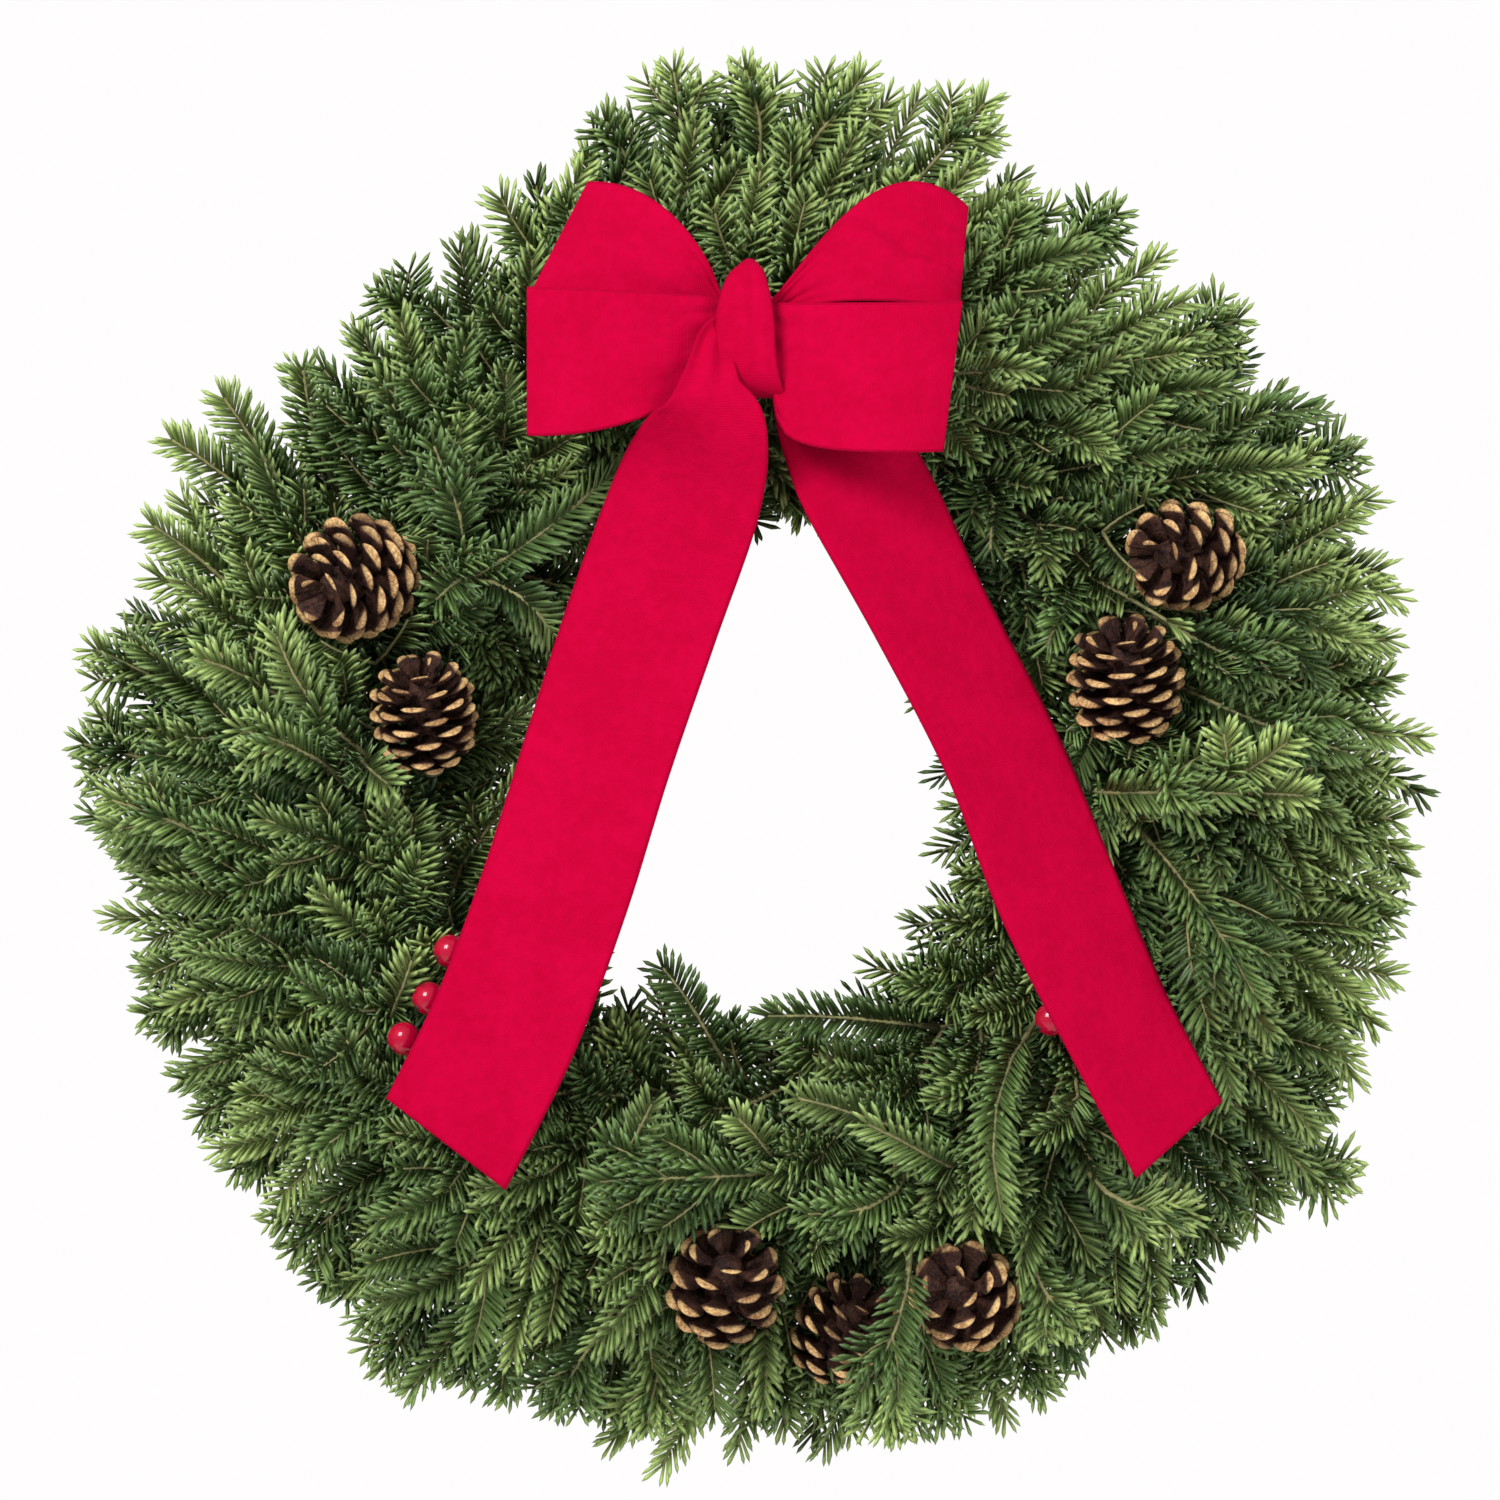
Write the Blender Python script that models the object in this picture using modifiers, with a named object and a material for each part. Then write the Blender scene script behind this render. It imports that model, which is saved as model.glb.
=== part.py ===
"""A hanging fir wreath on a clamp ring, with a velvet ribbon bow, seven pine cones and two berry picks.

Metres, +Z up, the front faces -Y. The origin is the seat of the door hook, on the underside of
the ring's top wire. Inside the script a place is given in the wreath's own round coordinates:
radius from the ring's centre, angle (0 at +X, counter-clockwise seen from the front) and depth
in front of the ring's plane.
"""

import math

import bmesh
import bpy
from mathutils import Matrix, Vector
from mathutils.bvhtree import BVHTree

# Driving dimensions. The ribbon is the common 2 1/2 inch width, which sets the scale of the rest.
RING_RADIUS = 0.1525
RING_WIRE = 0.0020
RIBBON_WIDTH = 0.0635
RIBBON_THICK = 0.0011
OUTER_REACH = 0.279
INNER_REACH = 0.0935
FIT_GAP = 0.0004

# Bundles of fir, all lashed to the ring the same way round, with their tips turned clockwise.
BUNDLES = 16
BUNDLE_STEP = math.tau / BUNDLES
FIRST_BUNDLE = math.radians(97)
LEAN_OUT = 0.40
LEAN_FORWARD = 0.45
CELL_GAP = 0.0012

STEM_RADIUS = 0.0062
STEM_DEPTH = 0.0090
CLAMP_WIRE = 0.0012
CLAMP_ACROSS = 0.22
CLAMP_STEPS = 5

# The core of a bundle: where it lies between hole (-1) and outer rim (1), and its half size.
CORE_REACH = -0.16
CORE_HALF_REACH = 0.215
CORE_DEPTH = 0.0405
CORE_HALF_DEPTH = 0.0140
CORE_SIDES = 8
CORE_ACROSS = (-0.44, 0.0, 0.44)

TWIG_RADIUS = 0.0016
NEEDLE_LENGTH = 0.0190
NEEDLE_FOOT = 0.0030
NEEDLE_SPREAD = math.radians(50)

# Each spray of a bundle: the reach and depth of its root and of its tip, its place across the bundle
# (-0.5 to 0.5) and the shares of its length at which it bears a ring of six needles.
SPRAYS = (
    ((-0.12, 0.036), (0.96, 0.014), -0.26, (0.32, 0.58, 0.84)),
    ((-0.12, 0.040), (1.00, 0.040), 0.20, (0.32, 0.58, 0.84)),
    ((-0.14, 0.042), (0.90, 0.064), -0.08, (0.34, 0.60, 0.84)),
    ((-0.14, 0.044), (0.68, 0.084), 0.30, (0.44, 0.78)),
    ((-0.20, 0.044), (0.44, 0.094), -0.28, (0.46, 0.80)),
    ((-0.24, 0.042), (0.04, 0.098), 0.06, (0.48, 0.80)),
    ((-0.14, 0.042), (-0.52, 0.092), -0.26, (0.48, 0.80)),
    ((-0.16, 0.040), (-0.84, 0.070), 0.24, (0.42, 0.76)),
    ((-0.16, 0.036), (-0.96, 0.040), -0.10, (0.42, 0.76)),
)

# Cones: radius, angle, depth of the middle, width over the open scales, length, and the way the
# tip points (right, front, up).
CONES = (
    (0.1770, 155.8, 0.083, 0.052, 0.056, (-0.60, 0.74, -0.30)),
    (0.1330, 172.9, 0.080, 0.045, 0.052, (-0.10, 0.50, 0.86)),
    (0.2030, 23.9, 0.080, 0.047, 0.054, (-0.62, 0.78, -0.06)),
    (0.1640, 10.7, 0.083, 0.049, 0.054, (-0.10, 0.50, 0.86)),
    (0.2230, 268.4, 0.075, 0.049, 0.053, (0.10, 0.68, 0.72)),
    (0.2460, 280.2, 0.062, 0.042, 0.050, (0.45, 0.55, 0.70)),
    (0.2470, 292.4, 0.072, 0.046, 0.052, (-0.30, 0.88, 0.36)),
)
CONE_COLUMNS = 7
CONE_ROWS = 5
CONE_CORE_SHARE = 0.36
CONE_CLEAR = 0.0022
CONE_STUB = 0.0022
CONE_STUB_LENGTH = 0.0050
WIRE_RADIUS = 0.0008
WIRE_CLEAR = 0.0012

# Berry picks: name, the place of each berry (right, up, depth), and where the stems meet.
PICKS = (
    (
        "berry_pick_left",
        ((-0.1220, -0.0820, 0.0905), (-0.1325, -0.1030, 0.0920), (-0.1425, -0.1215, 0.0910),
         (-0.1170, -0.1010, 0.0880)),
        (-0.1240, -0.1000, 0.0660),
    ),
    (
        "berry_pick_right",
        ((0.1300, -0.1115, 0.0850), (0.1450, -0.1010, 0.0790), (0.1465, -0.1210, 0.0780)),
        (0.1450, -0.1090, 0.0580),
    ),
)
BERRY_RADIUS = 0.0070
BERRY_SEGMENTS = 7
BERRY_RINGS = 5

# Bow: two bands of ribbon, the lower one in front of the upper, each a flattened loop to either side
# that is pinched in the middle. Places are (right, up) of the ring's centre.
BOW_X = 0.0040
BAND_TURNS = (0.0, 12.5, 25.0, 41.0, 62.0, 90.0, 118.0, 139.0, 155.0, 167.5)
BAND_START = 0.16
BAND_BULGE = 0.0050
BAND_WAIST = 0.0022
# Each band: its lower and upper edge at the pinch, its depth at the pinch and at the far folds, then
# for the left and the right loop the lower and the upper corner of the far fold, and how soon the
# loop spreads from the pinch (small is soon).
BOW_BANDS = (
    (
        "bow_band_upper", (0.1760, 0.2030), (0.1070, 0.0975),
        ((-0.0880, 0.1870), (-0.0629, 0.2431), 0.90),
        ((0.0940, 0.1860), (0.0965, 0.2346), 0.50),
    ),
    (
        "bow_band_lower", (0.1580, 0.1860), (0.1146, 0.1181),
        ((-0.0901, 0.1339), (-0.0901, 0.1960), 0.80),
        ((0.0854, 0.1262), (0.0935, 0.1900), 0.35),
    ),
)
KNOT_MIDDLE = 0.1805
KNOT_HALF_HEIGHT = 0.0278
KNOT_DEPTH = 0.1111
KNOT_HALF_DEPTH = 0.0136
KNOT_WIDTH = 0.0190
KNOT_STEPS = 16
# The bow's wire goes through the back of the knot from right to left (right, up, depth).
BOW_WIRE_FRONT = ((0.0180, 0.1800, 0.0995), (-0.0100, 0.1800, 0.0995), (-0.0115, 0.1790, 0.0880))
# Tails: points of the middle line (right, up, depth) from inside the knot to the cut end, the width
# and the twist in degrees at each (positive where the left edge lies deeper), and the slant of the cut.
TAILS = (
    (
        "bow_tail_left",
        ((0.0020, 0.1770, 0.1186), (-0.0090, 0.1716, 0.1213), (-0.0180, 0.1565, 0.1260),
         (-0.0220, 0.1370, 0.1240), (-0.0265, 0.1080, 0.1080), (-0.0395, 0.0560, 0.0975),
         (-0.0565, -0.0010, 0.0965), (-0.0745, -0.0580, 0.0995), (-0.0960, -0.1130, 0.1035),
         (-0.1220, -0.1640, 0.1060)),
        (0.20, 0.24, 0.42, 0.80, 0.99, 1.0, 1.0, 1.0, 1.0, 1.0),
        (0, -19, -11, -2, 2, 4, 4, 0, -4, -10),
        0.0060,
    ),
    (
        "bow_tail_right",
        ((0.0050, 0.1755, 0.1031), (0.0190, 0.1665, 0.1020), (0.0320, 0.1400, 0.0955),
         (0.0480, 0.1120, 0.0940), (0.0770, 0.0560, 0.0955), (0.1030, -0.0010, 0.0975),
         (0.1290, -0.0580, 0.1000), (0.1540, -0.1110, 0.1030), (0.1790, -0.1590, 0.1055)),
        (0.20, 0.24, 0.58, 0.96, 1.0, 1.0, 1.0, 1.0, 1.0),
        (0, -12, -4, -8, -22, -34, -34, -30, -24),
        -0.0050,
    ),
)
TAIL_STEPS = 13
CROSS_SHARES = (0.0, 0.5, 1.0)
PRESS_MARGIN = 0.0014

FIR_GREEN = (0.045, 0.100, 0.030)
CONE_BROWN = (0.130, 0.062, 0.030)
BERRY_RED = (0.480, 0.004, 0.015)
VELVET_RED = (0.640, 0.003, 0.045)
WIRE_GREY = (0.300, 0.310, 0.300)
WIRE_GREEN = (0.050, 0.090, 0.050)


def clear_scene():
    for obj in list(bpy.data.objects):
        bpy.data.objects.remove(obj, do_unlink=True)


def material(name, colour, roughness, metallic=0.0):
    made = bpy.data.materials.new(name)
    made.use_nodes = True
    shader = made.node_tree.nodes["Principled BSDF"]
    shader.inputs["Base Color"].default_value = (*colour, 1.0)
    shader.inputs["Roughness"].default_value = roughness
    shader.inputs["Metallic"].default_value = metallic
    return made


def spot(radius, angle, depth):
    """A place in the wreath's round coordinates, as a point."""
    return Vector((radius * math.cos(angle), -depth, radius * math.sin(angle)))


def wobble(number):
    """A repeatable value from -0.5 to 0.5 that looks random along a count."""
    return (math.sin(number * 12.9898 + 4.1) * 43758.5453) % 1.0 - 0.5


def mesh_object(name, bm, where, finish=None):
    bmesh.ops.recalc_face_normals(bm, faces=bm.faces)
    if bm.calc_volume(signed=True) < 0:
        bmesh.ops.reverse_faces(bm, faces=bm.faces)
    mesh = bpy.data.meshes.new(name)
    bm.to_mesh(mesh)
    bm.free()
    obj = bpy.data.objects.new(name, mesh)
    where.objects.link(obj)
    if finish:
        mesh.materials.append(finish)
    return obj


def loft(bm, rings, closed=False):
    """Skins a list of equal rings of points; open ends are capped. Gives the faces, span by span."""
    rows = [[bm.verts.new(p) for p in ring] for ring in rings]
    count = len(rows[0])
    spans = list(zip(rows, rows[1:] + rows[:1] if closed else rows[1:]))
    faces = [
        [bm.faces.new((a[i], a[(i + 1) % count], b[(i + 1) % count], b[i])) for i in range(count)]
        for a, b in spans
    ]
    if not closed:
        bm.faces.new(rows[0][::-1])
        bm.faces.new(rows[-1])
    return faces


def tube(name, points, radius, where, finish=None, resolution=1):
    """A wire or stem along points, made a mesh so that it can be joined or cut."""
    curve = bpy.data.curves.new(name, "CURVE")
    curve.dimensions = "3D"
    curve.bevel_depth = radius
    curve.bevel_resolution = resolution
    curve.use_fill_caps = True
    spline = curve.splines.new("POLY")
    spline.points.add(len(points) - 1)
    for slot, point in zip(spline.points, points):
        slot.co = (*point, 1.0)
    guide = bpy.data.objects.new(name + "_line", curve)
    bpy.context.scene.collection.objects.link(guide)
    graph = bpy.context.evaluated_depsgraph_get()
    mesh = bpy.data.meshes.new_from_object(guide.evaluated_get(graph))
    bpy.data.objects.remove(guide, do_unlink=True)
    bm = bmesh.new()
    bm.from_mesh(mesh)
    bpy.data.meshes.remove(mesh)
    bmesh.ops.remove_doubles(bm, verts=bm.verts, dist=1e-5)
    return mesh_object(name, bm, where, finish)


def combine(obj, others, operation, solver="EXACT"):
    """Joins or cuts obj with a collection of closed meshes, applies it and removes them."""
    modifier = obj.modifiers.new(operation.lower(), "BOOLEAN")
    modifier.operation = operation
    modifier.operand_type = "COLLECTION"
    modifier.collection = others
    modifier.solver = solver
    graph = bpy.context.evaluated_depsgraph_get()
    made = bpy.data.meshes.new_from_object(obj.evaluated_get(graph))
    obj.modifiers.remove(modifier)
    obj.data = made
    for other in list(others.objects):
        bpy.data.objects.remove(other, do_unlink=True)


def new_collection(name):
    made = bpy.data.collections.new(name)
    bpy.context.scene.collection.children.link(made)
    return made


# The outline of the foliage.


def outer_reach(angle):
    """Radius of the outer tips: the wreath is fuller below and pressed in at the upper left."""
    dent = math.exp(-(((math.degrees(angle) % 360) - 128) / 25) ** 2)
    return OUTER_REACH + 0.012 * math.cos(angle - math.radians(290)) - 0.026 * dent


def inner_reach(angle):
    """Radius of the hole, which is taller than it is wide."""
    return INNER_REACH - 0.013 * math.cos(2 * angle) - 0.008 * math.sin(angle)


def swirl(radius, depth):
    """How far the tips have turned clockwise at a place of the body's section."""
    return LEAN_OUT * abs(math.log(radius / RING_RADIUS)) + LEAN_FORWARD * depth / RING_RADIUS


def radius_at(angle, reach):
    """Radius at a reach from the hole (-1) to the outer rim (1)."""
    inner, outer = inner_reach(angle), outer_reach(angle)
    return (inner + outer) / 2 + reach * (outer - inner) / 2


def bundle_middle(number):
    return FIRST_BUNDLE - number * BUNDLE_STEP


def cell_place(number, across, radius, depth):
    """The point of a bundle's cell at a place across it, in cells from -0.5 to 0.5."""
    angle = bundle_middle(number) + across * BUNDLE_STEP - swirl(radius, depth)
    return spot(radius, angle, depth)


def across_of(number, point):
    """Where a point lies across a bundle's cell, and its radius and depth."""
    radius, depth = math.hypot(point.x, point.z), -point.y
    turned = math.atan2(point.z, point.x) + swirl(radius, depth) - bundle_middle(number)
    turned = (turned + math.pi) % math.tau - math.pi
    return turned / BUNDLE_STEP, radius, depth


# Ribbon tails.


def smooth_value(values, place):
    """A value between listed ones, on a smooth curve through them, and how fast it changes."""
    i = min(int(place), len(values) - 2)
    t = place - i
    a, b, c, d = (values[min(max(i + k, 0), len(values) - 1)] for k in (-1, 0, 1, 2))
    square, cube = 2 * a - 5 * b + 4 * c - d, 3 * b - a - 3 * c + d
    where = 0.5 * (2 * b + (c - a) * t + square * t**2 + cube * t**3)
    rate = 0.5 * ((c - a) + 2 * square * t + 3 * cube * t**2)
    return where, rate


def tail_row(tail, share):
    """At a share of a tail's length: the middle, the way down, the way across and the width."""
    place = share * (len(tail[1]) - 1)
    middle, way = smooth_value([Vector((x, -depth, up)) for x, up, depth in tail[1]], place)
    width, _ = smooth_value(tail[2], place)
    twist, _ = smooth_value(tail[3], place)
    way.normalize()
    across = way.cross(Vector((0, -1, 0))).normalized()
    across = across if across.x > 0 else -across
    across = Matrix.Rotation(math.radians(twist), 3, way) @ across
    return middle, way, across, RIBBON_WIDTH * width


TAIL_ROWS = [[tail_row(tail, i / 20) for i in range(21)] for tail in TAILS]


def front_limit(point):
    """How deep the greens may stand at a place, pressed back under the ribbon."""
    limit = 1.0
    for rows in TAIL_ROWS:
        for middle, _, across, width in rows:
            away = math.hypot(point.x - middle.x, point.z - middle.z)
            if away < width / 2 + 0.012:
                limit = min(limit, -middle.y - abs(across.y) * width / 2 - PRESS_MARGIN)
    bow_x = (point.x - BOW_X) / 0.108
    bow_z = (point.z - KNOT_MIDDLE - 0.003) / 0.072
    if bow_x**4 + bow_z**4 < 1.0:
        limit = min(limit, BOW_BANDS[0][2][1] - BAND_BULGE - PRESS_MARGIN - 0.0025)
    return limit


# Cones and the room that they take.


def cone_frame(cone):
    """Middle and turn of a cone, whose own Z runs to its tip."""
    radius, angle, depth, *_, way = cone
    middle = spot(radius, math.radians(angle), depth)
    tip = Vector((way[0], -way[1], way[2])).normalized()
    return middle, tip


def right_front_up(place):
    return Vector((place[0], -place[2], place[1]))


def boundary_place(boundary, sway, radius, depth):
    """A point between a bundle and the one before it, or a little to one side of that."""
    return cell_place(boundary, 0.5 + sway, radius, depth)


def nearest_boundary(point):
    turned = math.atan2(point.z, point.x) + swirl(math.hypot(point.x, point.z), -point.y)
    return round((bundle_middle(0) + BUNDLE_STEP / 2 - turned) / BUNDLE_STEP) % BUNDLES


def wire_to_ring(start, sway=0.0):
    """The way of a wire from a place in the greens, down between two bundles and round the ring."""
    boundary = nearest_boundary(start)
    radius, depth = math.hypot(start.x, start.z), -start.y
    points = []
    for share in (0.30, 0.58, 0.84):
        nearer = radius + (RING_RADIUS - radius) * share
        points.append(boundary_place(boundary, sway, nearer, depth * (1 - share) + 0.003 * share))
    hook = (RING_WIRE + FIT_GAP + WIRE_RADIUS) / math.cos(math.radians(29))
    outward = 1 if radius > RING_RADIUS else -1
    for i in range(5):
        turn = math.radians(70 - 58 * i)
        across_ring = RING_RADIUS + outward * hook * math.cos(turn)
        points.append(boundary_place(boundary, sway, across_ring, hook * math.sin(turn)))
    return points


def cone_wire_points(cone, sway):
    """A cone's wire: a turn round the stub at the cone's base, then back to the ring."""
    middle, tip = cone_frame(cone)
    base = middle - tip * (cone[4] / 2 + 0.0022)
    side = tip.cross(Vector((0, -1, 0))).normalized()
    other = tip.cross(side)
    turn_radius = (CONE_STUB + FIT_GAP + WIRE_RADIUS) / math.cos(math.radians(35))
    way = wire_to_ring(base, sway)
    leave = way[0] - base
    start = math.atan2(leave.dot(other), leave.dot(side))
    points = []
    for i in range(4):
        turn = start + math.radians(70 * i - 280)
        points.append(base + (side * math.cos(turn) + other * math.sin(turn)) * turn_radius)
    leg = side * math.cos(start) + other * math.sin(start)
    return points + [base - tip * 0.010 + leg * 0.003] + way


BERRY_ROOM = [(right_front_up(place), BERRY_RADIUS + 0.0020) for pick in PICKS for place in pick[1]]
CONE_ROOM = [(cone_frame(c)[0], max(c[3], c[4]) / 2 + CONE_CLEAR) for c in CONES]
ROUND_ROOM = CONE_ROOM + BERRY_ROOM
WIRES = [
    (f"cone_wire_{i + 1}", cone_wire_points(cone, 0.045 * (-1) ** i)) for i, cone in enumerate(CONES)
]
BOW_WIRE_START = [right_front_up(place) for place in BOW_WIRE_FRONT]
WIRES.append(("bow_wire", BOW_WIRE_START + wire_to_ring(BOW_WIRE_START[-1])))
PICK_STEMS = [[right_front_up(pick[2])] + wire_to_ring(right_front_up(pick[2])) for pick in PICKS]
BERRY_WIRES = [[right_front_up(pick[2]), right_front_up(place)] for pick in PICKS for place in pick[1]]
ALL_WIRES = [points for _, points in WIRES] + PICK_STEMS + BERRY_WIRES
WIRE_SEGMENTS = [pair for points in ALL_WIRES for pair in zip(points, points[1:])]


def gap_between(a, b, c, d):
    """The shortest distance between two straight pieces."""
    u, v, w = b - a, d - c, a - c
    uu, uv, vv, uw, vw = u.dot(u), u.dot(v), v.dot(v), u.dot(w), v.dot(w)
    span = uu * vv - uv * uv
    s = min(max((uv * vw - vv * uw) / span, 0.0), 1.0) if span > 1e-14 else 0.0
    t = min(max((uv * s + vw) / vv, 0.0), 1.0)
    s = min(max((uv * t - uw) / uu, 0.0), 1.0)
    return (w + u * s - v * t).length


def keeps_off(start, end, others, room):
    return all(gap_between(start, end, a, b) > room for a, b in others)


def segment_clear(start, end):
    """Whether a straight needle or twig keeps off the cones, the berries and the wires."""
    along = end - start
    for middle, room in ROUND_ROOM:
        t = max(0.0, min(1.0, (middle - start).dot(along) / along.length_squared))
        if (start + along * t - middle).length < room:
            return False
    return keeps_off(start, end, WIRE_SEGMENTS, WIRE_RADIUS + WIRE_CLEAR + TWIG_RADIUS)


def needle_fits(number, start, end):
    """Whether a needle stays in its bundle's cell, behind the ribbon, clear of hook room and cones."""
    across, radius, depth = across_of(number, end)
    edge = 0.5 - CELL_GAP / (radius * BUNDLE_STEP)
    hook_room = abs(end.x) < 0.016 and 0.120 < end.z < 0.170 and depth < 0.019
    return (
        abs(across) < edge
        and depth < front_limit(end)
        and depth > 0.001
        and not hook_room
        and segment_clear(start, end)
    )


# Pieces.


def clamp_loop(number, where):
    """One clamp: a wire bent round the stems, open at the front, welded across the ring wire."""
    angle = bundle_middle(number) + CLAMP_ACROSS * BUNDLE_STEP - swirl(RING_RADIUS, STEM_DEPTH)
    step = math.radians(300) / CLAMP_STEPS
    loop_radius = (STEM_RADIUS + FIT_GAP) / math.cos(step / 2) + CLAMP_WIRE
    points = []
    for i in range(CLAMP_STEPS + 1):
        turn = math.radians(120) + step * i
        depth = STEM_DEPTH + loop_radius * math.sin(turn)
        points.append(spot(RING_RADIUS + loop_radius * math.cos(turn), angle, depth))
    return tube(f"clamp_{number}", points, CLAMP_WIRE, where, resolution=0)


def clamp_ring(parts, tools, finish):
    """The 12 inch ring of wire with its clamps welded on, one for each bundle."""
    bpy.ops.mesh.primitive_torus_add(
        major_radius=RING_RADIUS, minor_radius=RING_WIRE, major_segments=45, minor_segments=5,
        rotation=(math.pi / 2, 0, 0),
    )
    ring = bpy.context.object
    bpy.ops.object.transform_apply(rotation=True)
    for owner in list(ring.users_collection):
        owner.objects.unlink(ring)
    parts.objects.link(ring)
    ring.name = "clamp_ring"
    ring.data.materials.append(finish)
    for number in range(BUNDLES):
        clamp_loop(number, tools)
    combine(ring, tools, "UNION")
    return ring


def bundle_stems(number, where):
    """The cut stems of a bundle: from their ends, through the clamp, then forward into the greens."""
    rings = []
    places = ((0.37, 0.0, 0.0), (0.05, 0.0, 0.0), (-0.04, 0.003, 0.006), (-0.14, 0.016, 0.030))
    for across, out, lift in places:
        ring = []
        for side in range(6):
            turn = math.tau * (side + 0.5) / 6
            radius = RING_RADIUS + out + STEM_RADIUS * math.cos(turn)
            depth = STEM_DEPTH + lift + STEM_RADIUS * math.sin(turn)
            ring.append(cell_place(number, across, radius, depth))
        rings.append(ring)
    bm = bmesh.new()
    loft(bm, rings)
    mesh_object("stems", bm, where)


def bundle_core(number, where, finish):
    """The packed inner twigs of a bundle, as one lumpy wedge that the sprays stand out of."""
    bm = bmesh.new()
    rings = []
    for step, across in enumerate(CORE_ACROSS):
        angle = bundle_middle(number) + across * BUNDLE_STEP - swirl(0.19, CORE_DEPTH)
        ring = []
        for side in range(CORE_SIDES):
            beta = math.tau * side / CORE_SIDES
            lump = (0.80, 1.12, 0.80)[step] + 0.36 * wobble(number * 97 + step * 13 + side)
            radius = radius_at(angle, CORE_REACH + CORE_HALF_REACH * lump * math.cos(beta))
            depth = CORE_DEPTH + CORE_HALF_DEPTH * lump * math.sin(beta)
            limit = front_limit(cell_place(number, across, radius, depth)) - 0.012
            ring.append(cell_place(number, across, radius, min(depth, limit)))
        rings.append(ring)
    loft(bm, rings)
    bmesh.ops.poke(bm, faces=[face for face in bm.faces if len(face.verts) == CORE_SIDES])
    return mesh_object(f"fir_bundle_{number + 1:02d}", bm, where, finish)


def hollow_core(core, tools):
    """Cuts a pocket for each cone and a channel for each wire that would meet a bundle's core."""
    low = Vector([min(v.co[i] for v in core.data.vertices) for i in range(3)])
    high = Vector([max(v.co[i] for v in core.data.vertices) for i in range(3)])

    def near(point, room):
        return all(low[i] - room < point[i] < high[i] + room for i in range(3))

    for middle, room in ROUND_ROOM:
        if near(middle, room):
            bm = bmesh.new()
            where = Matrix.Translation(middle)
            bmesh.ops.create_icosphere(bm, subdivisions=1, radius=1.27 * room, matrix=where)
            mesh_object("pocket", bm, tools)
    for points in ALL_WIRES:
        if any(near(point, WIRE_CLEAR) for point in points):
            tube("channel", points, 1.35 * (WIRE_RADIUS + WIRE_CLEAR), tools, resolution=0)
    if tools.objects:
        combine(core, tools, "DIFFERENCE", "MANIFOLD")


def within(tree, point, sunk):
    """Whether a point lies inside a closed mesh, at least so deep."""
    place, normal, _, away = tree.find_nearest(point)
    return (point - place).dot(normal) < 0 and away > sunk


def spray_axis(number, index, core):
    """Root and tip of a spray, shortened or left out where a cone, a berry or a wire is in its way."""
    (root_reach, root_depth), (tip_reach, tip_depth), across, _ = SPRAYS[index]
    seed = number * 31 + index * 7
    across += 0.10 * wobble(seed + 1)
    angle = bundle_middle(number) + across * BUNDLE_STEP - swirl(0.2, tip_depth)
    tip_radius = radius_at(angle, tip_reach + 0.10 * wobble(seed + 2) + 0.02)
    tip_depth = max(tip_depth + 0.010 * wobble(seed), 0.010)
    tip = cell_place(number, across, tip_radius, tip_depth)
    limit = front_limit(tip) - 0.006
    tip = cell_place(number, across, tip_radius, min(tip_depth, limit))
    root = cell_place(number, 0.8 * across, radius_at(angle, root_reach), min(root_depth, limit - 0.020))
    for share in (0.0, 0.25, 0.5, 0.75, 1.0):
        sunk = root.lerp(cell_place(number, 0.4 * across, radius_at(angle, CORE_REACH), 0.036), share)
        if not within(core, sunk, 0.003):
            continue
        for shorter in (1.0, 0.85, 0.7, 0.55):
            end = sunk.lerp(tip, shorter)
            if segment_clear(sunk, end):
                return sunk, end
    return None


def spray(number, index, core, placed, where):
    """One spray: a three-sided twig with rings of six needles raised from it, and one at its end."""
    axis = spray_axis(number, index, core)
    if axis is None:
        return
    root, tip = axis
    way = (tip - root).normalized()
    length = (tip - root).length
    side = way.cross(Vector((0.31, -0.77, 0.55))).normalized()
    up = way.cross(side)
    places, turn, turns = [0.0], wobble(number + 5 * index), [0.0]
    for share in SPRAYS[index][3]:
        places += [share * length, share * length + NEEDLE_FOOT]
        turns += [turns[-1], turns[-1] + math.pi / 3]
    rings = []
    for place, twist in zip(places, turns):
        thick = TWIG_RADIUS * (1.15 - 0.45 * place / length)
        ring = []
        for i in range(3):
            a = turn + twist + math.tau * i / 3
            ring.append(root + way * place + (side * math.cos(a) + up * math.sin(a)) * thick)
        rings.append(ring)
    bm = bmesh.new()
    spans = loft(bm, rings)
    bm.faces.ensure_lookup_table()
    bmesh.ops.poke(bm, faces=[bm.faces[-1]])["verts"][0].co = tip + way * 0.3 * NEEDLE_LENGTH
    plain = [face for span in spans[::2] for face in span]
    bearing = [face for span in spans[1::2] for face in span]
    bmesh.ops.triangulate(bm, faces=plain, quad_method="SHORT_EDGE")
    feet = bmesh.ops.triangulate(bm, faces=bearing, quad_method="SHORT_EDGE")["faces"]
    grown = []
    for face in feet:
        foot = face.calc_center_median()
        out = (foot - root - way * (foot - root).dot(way)).normalized()
        needle = way * math.cos(NEEDLE_SPREAD) + out * math.sin(NEEDLE_SPREAD)
        for share in (1.0, 0.75, 0.5):
            point = foot + needle * NEEDLE_LENGTH * share
            if (
                needle_fits(number, foot, point)
                and not within(core, point, 0.0)
                and keeps_off(foot, point, placed, NEEDLE_FOOT)
            ):
                bmesh.ops.poke(bm, faces=[face])["verts"][0].co = point
                grown.append((foot, point))
                break
    placed += grown + [(root, tip)]
    mesh_object(f"spray_{number}_{index}", bm, where)


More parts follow.
